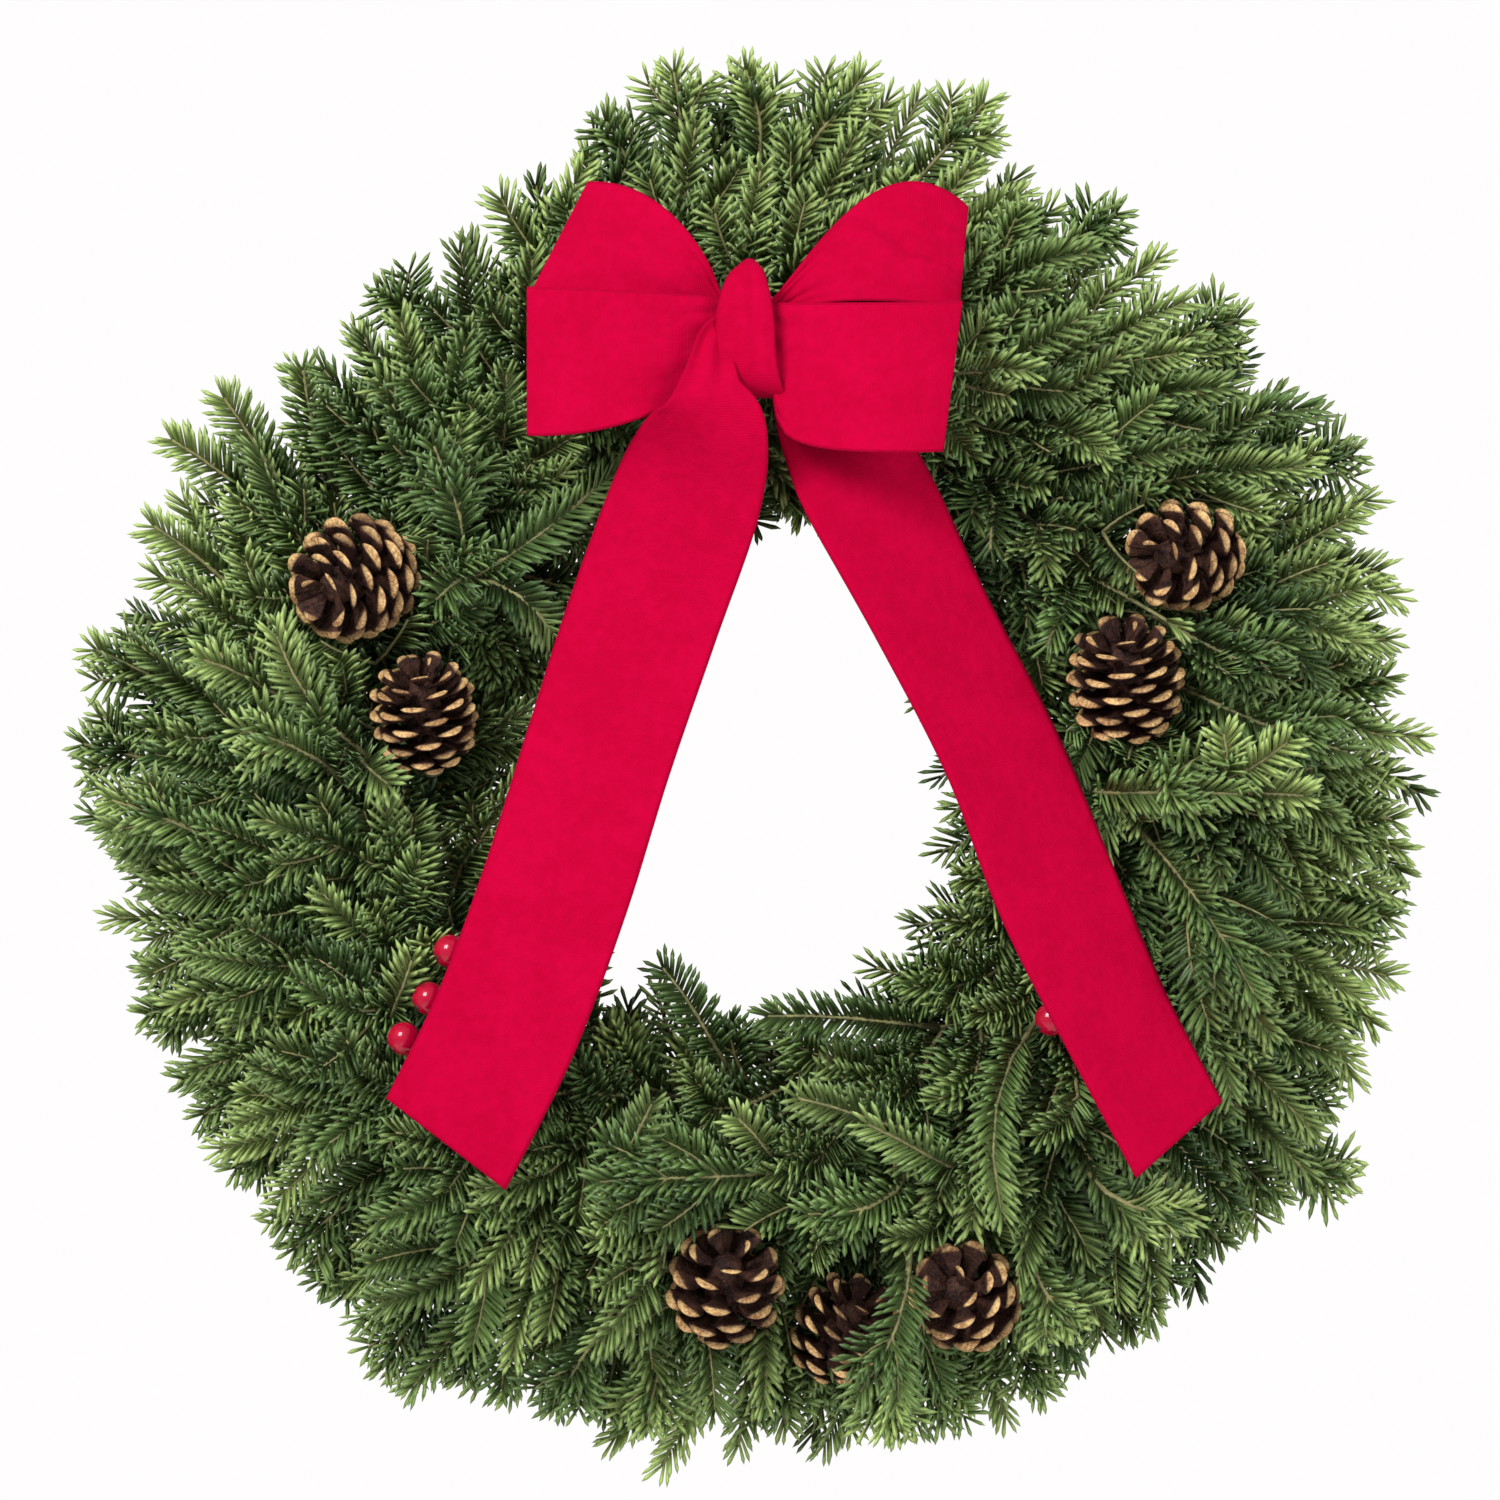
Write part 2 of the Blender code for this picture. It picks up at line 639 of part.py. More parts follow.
def fir_bundle(number, parts, tools, finish):
    core = bundle_core(number, parts, finish)
    hollow_core(core, tools)
    bundle_stems(number, tools)
    bm = bmesh.new()
    bm.from_mesh(core.data)
    tree = BVHTree.FromBMesh(bm)
    bm.free()
    placed = []
    for index in range(len(SPRAYS)):
        spray(number, index, tree, placed, tools)
    combine(core, tools, "UNION", "MANIFOLD")


def pine_cone(index, parts, finish):
    """An open cone: a spindle whose skewed cells are each drawn out into a thick flared scale."""
    width, length = CONES[index][3], CONES[index][4]
    middle, tip = cone_frame(CONES[index])

    def place(column, row, outer):
        polar = math.radians(172 - 150 * row / CONE_ROWS)
        if outer:
            radius, height = width / 2 * math.sin(polar) ** 0.8, -length / 2 * math.cos(polar)
        else:
            radius = CONE_CORE_SHARE * width / 2 * math.sin(polar) ** 0.6
            height = -0.42 * length * math.cos(polar)
        turn = math.tau * (column + row / 2) / CONE_COLUMNS
        return Vector((radius * math.cos(turn), radius * math.sin(turn), height))

    def stub_ring(height):
        turns = [math.tau * column / CONE_COLUMNS for column in range(CONE_COLUMNS)]
        return [Vector((CONE_STUB * math.cos(t), CONE_STUB * math.sin(t), height)) for t in turns]

    bm = bmesh.new()
    rings = [stub_ring(-length / 2 - CONE_STUB_LENGTH), stub_ring(-length / 2 + 0.001)]
    rings += [[place(c, r, False) for c in range(CONE_COLUMNS)] for r in range(CONE_ROWS + 1)]
    spans = loft(bm, rings)[2:]
    for row, span in enumerate(spans):
        for column, face in enumerate(span):
            scale = bmesh.ops.extrude_discrete_faces(bm, faces=[face])["faces"][0]
            root = scale.calc_center_median()
            lip = place(column + 0.5, row + 0.5, True)
            across = Vector((-lip.y, lip.x, 0)).normalized()
            rise = (lip - root).cross(across).normalized()
            half_width = 0.40 * math.tau * math.hypot(lip.x, lip.y) / CONE_COLUMNS
            half_height = 0.20 * length / CONE_ROWS
            for corner in scale.verts:
                offset = corner.co - root
                left = math.copysign(half_width, offset.dot(across))
                high = math.copysign(half_height, offset.dot(rise))
                corner.co = lip + across * left + rise * high
    turn = Vector((0, 0, 1)).rotation_difference(tip).to_matrix().to_4x4()
    bm.transform(Matrix.Translation(middle) @ turn)
    mesh_object(f"pine_cone_{index + 1}", bm, parts, finish)


def berry_pick(pick, stem_points, parts, tools, finish):
    """Berries on short wires that meet in one stem, which hooks round the ring."""
    stem = tube(pick[0], stem_points, WIRE_RADIUS, parts, finish, resolution=0)
    meet = right_front_up(pick[2])
    for place in pick[1]:
        middle = right_front_up(place)
        bm = bmesh.new()
        bmesh.ops.create_uvsphere(
            bm, u_segments=BERRY_SEGMENTS, v_segments=BERRY_RINGS, radius=BERRY_RADIUS,
            matrix=Matrix.Translation(middle),
        )
        mesh_object("berry", bm, tools)
        start = meet + (stem_points[1] - meet) * 0.1
        end = middle + (meet - middle).normalized() * 0.5 * BERRY_RADIUS
        tube("berry_wire", [start, end], WIRE_RADIUS, tools, resolution=0)
    combine(stem, tools, "UNION")


def sheet_strip(name, rows, parts, finish, closed=False):
    """A ribbon of the sheet's thickness from rows of points, joined into a loop where closed."""
    bm = bmesh.new()
    grid = [[bm.verts.new(point) for point in row] for row in rows]
    pairs = list(zip(grid, grid[1:])) + ([(grid[-1], grid[0])] if closed else [])
    for a, b in pairs:
        for i in range(len(a) - 1):
            bm.faces.new((a[i], a[i + 1], b[i + 1], b[i]))
    obj = mesh_object(name, bm, parts, finish)
    thick = obj.modifiers.new("cloth", "SOLIDIFY")
    thick.thickness = RIBBON_THICK
    thick.offset = 0.0
    thick.use_even_offset = True


def bow_band(band, parts, finish):
    """A loop to the left and a loop to the right, of one band of ribbon pinched in the middle."""
    name, pinch, depths, *sides = band
    loops = []
    for lower, upper, spread in sides:
        rows = []
        for degrees in BAND_TURNS:
            turn = math.radians(degrees)
            out = math.sin(turn) ** 1.2
            opened = max(0.0, (out - BAND_START) / (1 - BAND_START))
            depth = depths[0] + (depths[1] - depths[0]) * math.sqrt(opened)
            crease = math.sin(2 * turn) * abs(math.sin(2 * turn))
            depth += BAND_WAIST * math.cos(turn) + BAND_BULGE * crease
            low, high = (a + (b[1] - a) * opened**spread for a, b in zip(pinch, (lower, upper)))
            row = []
            for share in CROSS_SHARES:
                far = lower[0] + (upper[0] - lower[0]) * share
                row.append(Vector((BOW_X + (far - BOW_X) * out, -depth, low + (high - low) * share)))
            rows.append(row)
        loops.append(rows)
    back = [Vector((BOW_X, BAND_WAIST - depths[0], point.z)) for point in loops[0][0]]
    sheet_strip(name, loops[0] + [back] + loops[1][:0:-1], parts, finish, closed=True)


def bow_knot(parts, finish):
    """The band of ribbon round the pinch."""
    rows = []
    for i in range(KNOT_STEPS):
        turn = math.tau * i / KNOT_STEPS
        up = KNOT_MIDDLE + KNOT_HALF_HEIGHT * math.copysign(abs(math.sin(turn)) ** 0.6, math.sin(turn))
        depth = KNOT_DEPTH + KNOT_HALF_DEPTH * math.copysign(abs(math.cos(turn)) ** 0.65, math.cos(turn))
        rows.append([Vector((BOW_X + KNOT_WIDTH * (share - 0.5), -depth, up)) for share in (0, 1)])
    sheet_strip("bow_knot", rows, parts, finish, closed=True)


def bow_tail(tail, parts, finish):
    """A tail that hangs from inside the knot to its slanted cut end."""
    rows = []
    for i in range(TAIL_STEPS + 1):
        share = i / TAIL_STEPS
        middle, way, across, width = tail_row(tail, share)
        cut = tail[4] * max(0.0, share * 4 - 3)
        rows.append([middle + (across * width / 2 + way * cut) * (2 * s - 1) for s in CROSS_SHARES])
    sheet_strip(tail[0], rows, parts, finish)


def main():
    clear_scene()
    parts = new_collection("fir_wreath")
    tools = new_collection("join_pieces")
    green = material("fir_needles", FIR_GREEN, 0.55)
    brown = material("cone_scales", CONE_BROWN, 0.75)
    red = material("berry_skin", BERRY_RED, 0.25)
    velvet = material("ribbon_velvet", VELVET_RED, 0.85)
    grey = material("ring_wire", WIRE_GREY, 0.40, 0.9)
    wire = material("florist_wire", WIRE_GREEN, 0.45, 0.3)
    clamp_ring(parts, tools, grey)
    for number in range(BUNDLES):
        fir_bundle(number, parts, tools, green)
    for index in range(len(CONES)):
        pine_cone(index, parts, brown)
    for name, points in WIRES:
        tube(name, points, WIRE_RADIUS, parts, wire, resolution=0)
    for pick, stem_points in zip(PICKS, PICK_STEMS):
        berry_pick(pick, stem_points, parts, tools, red)
    for band in BOW_BANDS:
        bow_band(band, parts, velvet)
    bow_knot(parts, velvet)
    for tail in TAILS:
        bow_tail(tail, parts, velvet)
    bpy.context.scene.collection.children.unlink(tools)
    middle = bpy.data.objects.new("ring_middle", None)
    parts.objects.link(middle)
    middle.location.z = RING_WIRE - RING_RADIUS
    for piece in parts.objects:
        if piece.type == "MESH":
            piece.parent = middle


main()
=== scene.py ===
"""The looks of a hanging fir wreath with a red velvet bow, pine cones and berries.

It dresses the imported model: every piece stands for a node of the frame and keeps its place and form.
Metres, +Z up, the front faces -Y, and the origin is the seat of the door hook.
"""

import math

import bpy
import numpy as np
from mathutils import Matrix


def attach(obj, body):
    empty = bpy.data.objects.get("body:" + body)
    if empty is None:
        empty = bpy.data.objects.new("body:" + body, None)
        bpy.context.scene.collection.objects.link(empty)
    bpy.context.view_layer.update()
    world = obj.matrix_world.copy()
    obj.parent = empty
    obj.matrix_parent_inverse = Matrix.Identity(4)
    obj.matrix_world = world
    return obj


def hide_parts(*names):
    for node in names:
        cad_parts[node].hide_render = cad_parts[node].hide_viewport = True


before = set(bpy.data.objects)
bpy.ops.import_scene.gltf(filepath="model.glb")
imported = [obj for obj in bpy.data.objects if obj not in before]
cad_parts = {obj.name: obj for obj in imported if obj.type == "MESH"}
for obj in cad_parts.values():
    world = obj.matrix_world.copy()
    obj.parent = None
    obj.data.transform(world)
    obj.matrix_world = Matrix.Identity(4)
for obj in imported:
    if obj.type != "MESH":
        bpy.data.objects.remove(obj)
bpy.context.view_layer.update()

# Camera, light and floor.
# The photograph looks straight at the front of the wreath, in soft daylight from the upper left. It was
# taken against white, so the world is white to the camera and gives a soft light from all round.
RING_RADIUS = 0.1525
RING_WIRE = 0.0020
RING_UP = RING_WIRE - RING_RADIUS
PHOTO_SIDE = 1500
PHOTO_MIDDLE = (740, 752)
PIXEL = 0.000425
SCALE_DEPTH = 0.030
CAMERA_AWAY = 3.0
SENSOR = 36.0

lens = bpy.data.cameras.new("front_view")
lens.sensor_width = SENSOR
lens.lens = SENSOR * CAMERA_AWAY / (PHOTO_SIDE * PIXEL)
lens.clip_start = 0.05
lens.clip_end = 60
camera = bpy.data.objects.new("front_view", lens)
camera.location = (
    (PHOTO_SIDE / 2 - PHOTO_MIDDLE[0]) * PIXEL,
    -SCALE_DEPTH - CAMERA_AWAY,
    RING_UP + (PHOTO_MIDDLE[1] - PHOTO_SIDE / 2) * PIXEL,
)
camera.rotation_euler = (math.pi / 2, 0, 0)
bpy.context.scene.collection.objects.link(camera)
bpy.context.scene.camera = camera
bpy.context.scene.view_settings.view_transform = "Standard"


def soft_light(name, place, size, power):
    """A square lamp of that size that faces the middle of the wreath."""
    lamp = bpy.data.lights.new(name, "AREA")
    lamp.size = size
    lamp.energy = power
    made = bpy.data.objects.new(name, lamp)
    made.location = place
    away = np.array(place) - (0, 0, RING_UP)
    made.rotation_euler = (
        math.atan2(math.hypot(away[0], away[1]), away[2]), 0, math.atan2(away[0], -away[1])
    )
    bpy.context.scene.collection.objects.link(made)


soft_light("window_left", (-1.5, -2.4, 1.5), 1.2, 112)
soft_light("window_right", (2.2, -2.0, 0.4), 1.6, 44)
soft_light("room_behind", (0.6, 2.6, 0.9), 1.6, 40)

world = bpy.data.worlds.new("white_room")
world.use_nodes = True
bpy.context.scene.world = world
links = world.node_tree.links
nodes = world.node_tree.nodes
seen = nodes.new("ShaderNodeBackground")
seen.inputs["Color"].default_value = (1.0, 0.985, 0.985, 1)
shed = nodes["Background"]
shed.inputs["Color"].default_value = (0.96, 0.98, 1.0, 1)
shed.inputs["Strength"].default_value = 0.52
path = nodes.new("ShaderNodeLightPath")
either = nodes.new("ShaderNodeMixShader")
links.new(path.outputs["Is Camera Ray"], either.inputs["Fac"])
links.new(shed.outputs["Background"], either.inputs[1])
links.new(seen.outputs["Background"], either.inputs[2])
links.new(either.outputs["Shader"], nodes["World Output"].inputs["Surface"])

FLOOR_DROP = 1.6
FLOOR_RADIUS = 7.0
bpy.ops.mesh.primitive_circle_add(
    vertices=96, radius=FLOOR_RADIUS, fill_type="NGON", location=(0, 0, RING_UP - FLOOR_DROP)
)
floor = bpy.context.object
floor.name = "pale_floor"
pale = bpy.data.materials.new("pale_floor")
pale.use_nodes = True
pale.node_tree.nodes["Principled BSDF"].inputs["Base Color"].default_value = (0.93, 0.92, 0.91, 1)
pale.node_tree.nodes["Principled BSDF"].inputs["Roughness"].default_value = 0.8
floor.data.materials.append(pale)


# Clamp ring.
# A round ring of drawn steel wire with sixteen wire clamps welded across it. Each clamp was pressed
# shut by hand round the stems of one bundle, and stays open at the front.
BUNDLES = 16
BUNDLE_STEP = math.tau / BUNDLES
FIRST_BUNDLE = math.radians(97)
LEAN_OUT = 0.40
LEAN_FORWARD = 0.45
STEM_RADIUS = 0.0062
STEM_DEPTH = 0.0090
FIT_GAP = 0.0004
CLAMP_WIRE = 0.0012
CLAMP_ACROSS = 0.22
CLAMP_MOUTH = (120, 420)
FORWARD = np.array([0.0, -1.0, 0.0])


def spot(radius, angle, depth):
    """Points by their radius and angle round the ring's middle and their depth in front of the ring."""
    radius, angle, depth = np.broadcast_arrays(radius, angle, depth)
    return np.stack([radius * np.cos(angle), -depth, RING_UP + radius * np.sin(angle)], -1)


def from_ring(places):
    """Points from places given as right, up and in front of the ring's middle."""
    right, up, front = np.moveaxis(np.asarray(places, float), -1, 0)
    return np.stack([right, -front, RING_UP + up], -1)


def unit(vectors):
    """The vectors at a length of one."""
    return vectors / np.maximum(np.linalg.norm(vectors, axis=-1, keepdims=True), 1e-12)


def swirl(radius, depth):
    """How far the greens have turned clockwise: with the log of the radius, and with the depth."""
    return LEAN_OUT * np.abs(np.log(radius / RING_RADIUS)) + LEAN_FORWARD * depth / RING_RADIUS


def cell_place(number, across, radius, depth):
    """Points of a bundle's own room: across it from -0.5 to 0.5, at a radius and a depth."""
    angle = FIRST_BUNDLE - (number - across) * BUNDLE_STEP - swirl(radius, depth)
    return spot(radius, angle, depth)


def through(values, places):
    """Values on a smooth curve through listed ones, at places counted in the list's own steps."""
    values = np.asarray(values, float)
    last = len(values) - 1
    i = np.minimum(places.astype(int), last - 1)
    t = (places - i).reshape((-1,) + (1,) * (values.ndim - 1))
    a, b, c, d = (values[np.clip(i + k, 0, last)] for k in (-1, 0, 1, 2))
    square, cube = 2 * a - 5 * b + 4 * c - d, 3 * b - a - 3 * c + d
    return 0.5 * (2 * b + (c - a) * t + square * t**2 + cube * t**3)


def skins(rings, looped=False):
    """Closed skins over arrays of rings of points: ring joined to ring, and the ends drawn to a point.

    The rings turn anticlockwise about the way that they follow. A looped skin has no ends.
    """
    count, steps, sides = rings.shape[:3]
    k, s = np.meshgrid(np.arange(steps if looped else steps - 1), np.arange(sides), indexing="ij")
    a, b = k * sides + s, k * sides + (s + 1) % sides
    c, d = (b + sides) % (steps * sides), (a + sides) % (steps * sides)
    corners = np.stack([np.stack([a, b, c], -1), np.stack([a, c, d], -1)], 2).reshape(-1, 3)
    points = rings.reshape(count, -1, 3)
    if not looped:
        here, after = np.arange(sides), (np.arange(sides) + 1) % sides
        start, end, last = steps * sides, steps * sides + 1, (steps - 1) * sides
        caps = [
            np.stack([np.full(sides, start), after, here], 1),
            np.stack([np.full(sides, end), last + here, last + after], 1),
        ]
        corners = np.concatenate([corners, *caps])
        points = np.concatenate([points, rings[:, :1].mean(2), rings[:, -1:].mean(2)], 1)
    triangles = np.arange(count)[:, None, None] * points.shape[1] + corners
    return points.reshape(-1, 3), triangles.reshape(-1, 3)


def pipes(paths, radii, sides, reference, looped=False):
    """Round skins along paths: each ring stands square to its path, in a circle of that radius.

    A ring's first point lies along the cross product of the path's way and the reference.
    """
    if looped:
        ways = unit(np.roll(paths, -1, 1) - np.roll(paths, 1, 1))
    else:
        ways = unit(np.gradient(paths, axis=1))
    side = unit(np.cross(ways, reference))
    other = np.cross(ways, side)
    turns = np.arange(sides) * math.tau / sides
    circle = np.cos(turns)[:, None] * side[:, :, None] + np.sin(turns)[:, None] * other[:, :, None]
    return skins(paths[:, :, None] + circle * np.asarray(radii, float)[..., None, None], looped)


def put_piece(name, bodies, finishes):
    """A mesh object from bodies: the points, triangles, number of the finish, and named point values."""
    mesh = bpy.data.meshes.new(name)
    starts = np.cumsum([0] + [len(body[0]) for body in bodies])
    points = np.concatenate([body[0] for body in bodies])
    triangles = np.concatenate([body[1] + start for body, start in zip(bodies, starts)])
    slots = np.concatenate([np.full(len(body[1]), body[2]) for body in bodies])
    mesh.vertices.add(len(points))
    mesh.vertices.foreach_set("co", points.astype(np.float32).ravel())
    mesh.loops.add(3 * len(triangles))
    mesh.loops.foreach_set("vertex_index", triangles.astype(np.int32).ravel())
    mesh.polygons.add(len(triangles))
    mesh.polygons.foreach_set("loop_start", np.arange(len(triangles), dtype=np.int32) * 3)
    mesh.polygons.foreach_set("use_smooth", np.ones(len(triangles), bool))
    mesh.polygons.foreach_set("material_index", slots.astype(np.int32))
    mesh.update(calc_edges=True)
    for layer in sorted({layer for body in bodies for layer in body[3]}):
        values = [body[3].get(layer, np.zeros(len(body[0]))) for body in bodies]
        made = mesh.attributes.new(layer, "FLOAT", "POINT")
        made.data.foreach_set("value", np.concatenate(values).astype(np.float32))
    for finish in finishes:
        mesh.materials.append(finish)
    obj = bpy.data.objects.new(name, mesh)
    bpy.context.scene.collection.objects.link(obj)
    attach(obj, "root")
    return obj


def mottled_group():
    """Blotches between a dark and a light colour, with finer grain over them, and their height."""
    group = bpy.data.node_groups.new("mottled", "ShaderNodeTree")
    group.interface.new_socket("Dark", in_out="INPUT", socket_type="NodeSocketColor")
    group.interface.new_socket("Light", in_out="INPUT", socket_type="NodeSocketColor")
    group.interface.new_socket("Scale", in_out="INPUT", socket_type="NodeSocketFloat")
    group.interface.new_socket("Color", in_out="OUTPUT", socket_type="NodeSocketColor")
    group.interface.new_socket("Height", in_out="OUTPUT", socket_type="NodeSocketFloat")
    enter, leave = group.nodes.new("NodeGroupInput"), group.nodes.new("NodeGroupOutput")
    place = group.nodes.new("ShaderNodeTexCoord")
    finer = group.nodes.new("ShaderNodeMath")
    finer.operation = "MULTIPLY"
    finer.inputs[1].default_value = 5.0
    group.links.new(enter.outputs["Scale"], finer.inputs[0])
    both = group.nodes.new("ShaderNodeMath")
    both.operation = "ADD"
    for slot, scale in enumerate((enter.outputs["Scale"], finer.outputs[0])):
        noise = group.nodes.new("ShaderNodeTexNoise")
        noise.inputs["Detail"].default_value = 3.0
        group.links.new(place.outputs["Object"], noise.inputs["Vector"])
        group.links.new(scale, noise.inputs["Scale"])
        group.links.new(noise.outputs["Fac"], both.inputs[slot])
    spread = group.nodes.new("ShaderNodeMapRange")
    spread.inputs["From Min"].default_value = 0.78
    spread.inputs["From Max"].default_value = 1.22
    group.links.new(both.outputs[0], spread.inputs["Value"])
    mix = group.nodes.new("ShaderNodeMix")
    mix.data_type = "RGBA"
    group.links.new(spread.outputs["Result"], mix.inputs["Factor"])
    group.links.new(enter.outputs["Dark"], mix.inputs[6])
    group.links.new(enter.outputs["Light"], mix.inputs[7])
    group.links.new(mix.outputs[2], leave.inputs["Color"])
    group.links.new(spread.outputs["Result"], leave.inputs["Height"])
    return group


MOTTLED = mottled_group()


def mottled(tree, dark, light, scale):
    """The mottled effect in a material; gives its colour and its height."""
    node = tree.nodes.new("ShaderNodeGroup")
    node.node_tree = MOTTLED
    node.inputs["Dark"].default_value = (*dark, 1)
    node.inputs["Light"].default_value = (*light, 1)
    node.inputs["Scale"].default_value = scale
    return node.outputs["Color"], node.outputs["Height"]


def node_mix(tree, factor, first, second):
    """A colour mix whose factor is a socket, between two colours that are sockets or values."""
    mix = tree.nodes.new("ShaderNodeMix")
    mix.data_type = "RGBA"
    tree.links.new(factor, mix.inputs["Factor"])
    for value, place in ((first, 6), (second, 7)):
        if isinstance(value, tuple):
            mix.inputs[place].default_value = (*value, 1)
        else:
            tree.links.new(value, mix.inputs[place])
    return mix.outputs[2]


def node_value(tree, layer):
    """The value that each point of a piece has in a named layer."""
    node = tree.nodes.new("ShaderNodeAttribute")
    node.attribute_name = layer
    return node.outputs["Fac"]


def finish(name, dark, light, scale, roughness, bump, specular=0.5, metallic=0.0):
    """A mottled material: its colours, the size of its blotches, its gloss and the depth of its grain."""
    made = bpy.data.materials.new(name)
    made.use_nodes = True
    tree = made.node_tree
    shader = tree.nodes["Principled BSDF"]
    shader.inputs["Roughness"].default_value = roughness
    shader.inputs["Specular IOR Level"].default_value = specular
    shader.inputs["Metallic"].default_value = metallic
    colour, height = mottled(tree, dark, light, scale)
    tree.links.new(colour, shader.inputs["Base Color"])
    grain = tree.nodes.new("ShaderNodeBump")
    grain.inputs["Distance"].default_value = bump
    tree.links.new(height, grain.inputs["Height"])
    tree.links.new(grain.outputs["Normal"], shader.inputs["Normal"])
    return made


def clamp_ring(wire_finish):
    """The ring as a round wire, and the clamps: each an arc round its stems, open towards the front."""
    turns = np.linspace(0, math.tau, 180, endpoint=False)
    bodies = [(*pipes(spot(RING_RADIUS, turns, 0)[None], RING_WIRE, 12, FORWARD, True), 0, {})]
    middles = FIRST_BUNDLE + (CLAMP_ACROSS - np.arange(BUNDLES)) * BUNDLE_STEP
    angles = (middles - swirl(RING_RADIUS, STEM_DEPTH))[:, None]
    loop = STEM_RADIUS + FIT_GAP + CLAMP_WIRE
    turns = np.radians(np.linspace(*CLAMP_MOUTH, 30))
    paths = spot(RING_RADIUS + loop * np.cos(turns), angles, STEM_DEPTH + loop * np.sin(turns))
    along_ring = np.stack([np.sin(angles), 0 * angles, -np.cos(angles)], -1)
    bodies.append((*pipes(paths, CLAMP_WIRE, 8, along_ring), 0, {}))
    ring = put_piece("ring_with_clamps", bodies, [wire_finish])
    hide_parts("clamp_ring")


wire_steel = finish("drawn_wire", (0.16, 0.16, 0.15), (0.42, 0.43, 0.42), 90, 0.38, 0.00008, metallic=1.0)
clamp_ring(wire_steel)


# Room for what is tied on.
# Seven cones, two picks of berries and the bow are wired to the ring before the greens are fluffed out,
# so the greens leave room round them and lie pressed back under the ribbon.
# Cones: radius, angle, depth of the middle, width over the open scales, length, the way the tip points
# (right, front, up), and the number of scales.
CONES = (
    (0.1770, 155.8, 0.083, 0.052, 0.056, (-0.60, 0.74, -0.30), 62),
    (0.1330, 172.9, 0.080, 0.045, 0.052, (-0.10, 0.50, 0.86), 60),
    (0.2030, 23.9, 0.080, 0.047, 0.054, (-0.62, 0.78, -0.06), 46),
    (0.1640, 10.7, 0.083, 0.049, 0.054, (-0.10, 0.50, 0.86), 62),
    (0.2230, 268.4, 0.075, 0.049, 0.053, (0.10, 0.68, 0.72), 42),
    (0.2460, 280.2, 0.062, 0.042, 0.050, (0.45, 0.55, 0.70), 46),
    (0.2470, 292.4, 0.072, 0.046, 0.052, (-0.30, 0.88, 0.36), 40),
)
CONE_MIDDLES = np.array([spot(c[0], math.radians(c[1]), c[2]) for c in CONES])
CONE_ROOM = np.array([max(c[3], c[4]) / 2 for c in CONES])

RIBBON_WIDTH = 0.0635
RIBBON_THICK = 0.0011
# Tails: points of the middle line (right, up, depth) from inside the knot to the cut end, the width
# and the twist in degrees at each (positive where the left edge lies behind), and the slant of the cut.
TAILS = (
    (
        "bow_tail_left",
        ((0.0020, 0.1770, 0.1186), (-0.0085, 0.1716, 0.1226), (-0.0118, 0.1540, 0.1280),
         (-0.0124, 0.1355, 0.1250), (-0.0210, 0.1080, 0.1090), (-0.0400, 0.0560, 0.0975),
         (-0.0590, -0.0010, 0.0965), (-0.0768, -0.0580, 0.0995), (-0.0972, -0.1130, 0.1035),
         (-0.1217, -0.1625, 0.1060)),
        (0.20, 0.24, 0.38, 0.76, 0.97, 1.0, 0.98, 0.98, 0.98, 0.98),
        (0, -19, -11, -4, 2, 4, 4, 0, -4, -10),
        0.0060,
    ),
    (
        "bow_tail_right",
        ((0.0050, 0.1755, 0.1031), (0.0190, 0.1665, 0.1020), (0.0320, 0.1400, 0.0955),
         (0.0510, 0.1120, 0.0940), (0.0800, 0.0560, 0.0955), (0.1092, -0.0010, 0.0975),
         (0.1318, -0.0580, 0.1000), (0.1562, -0.1110, 0.1030), (0.1822, -0.1605, 0.1055)),
        (0.20, 0.24, 0.58, 0.96, 1.0, 1.0, 1.0, 1.0, 1.0),
        (0, -12, -8, -28, -38, -38, -35, -41, -42),
        -0.0050,
    ),
)
# The patch of greens under the bow: its middle (right, up), its half width and half height, and the depth
# of the bow's back.
BOW_PATCH = (0.0040, 0.1835, 0.100, 0.071, 0.0870)
BESIDE_TAIL = 0.003


def tail_rows(tail, count):
    """Along a tail: the middles, the ways down, the ways across and the widths."""
    places = np.linspace(0, len(tail[1]) - 1, count)
    middles = through(from_ring(tail[1]), places)
    ways = unit(np.gradient(middles, axis=0))
    across = unit(np.cross(ways, (0, -1, 0)))
    across = across * np.sign(across[:, :1])
    turn = np.radians(through(tail[3], places))[:, None]
    across = across * np.cos(turn) + np.cross(ways, across) * np.sin(turn)
    return middles, ways, across, RIBBON_WIDTH * through(tail[2], places)


TAIL_GUIDES = [tail_rows(tail, 41) for tail in TAILS]


def greens_limit(points):
    """The depth at which greens touch the back of the ribbon, at each of an array of points.

    A tail counts where a point shows within half a width of its middle line, and a little more. The bow
    counts inside a rounded patch, where the fourth powers of the shares to its sides add up to under one.
    """
    limit = np.full(points.shape[:-1], 1.0)
    for middles, _, across, widths in TAIL_GUIDES:
        gap = np.hypot(
            points[..., None, 0] - middles[:, 0], points[..., None, 2] - middles[:, 2]
        )
        near = gap.argmin(-1)
        under = gap.min(-1) < widths[near] / 2 + BESIDE_TAIL
        back = -middles[near, 1] - np.abs(across[near, 1]) * widths[near] / 2
        limit = np.where(under, np.minimum(limit, back), limit)
    x, up, half_x, half_up, back = BOW_PATCH
    inside = ((points[..., 0] - x) / half_x) ** 4 + ((points[..., 2] - RING_UP - up) / half_up) ** 4 < 1
    return np.where(inside, np.minimum(limit, back), limit)


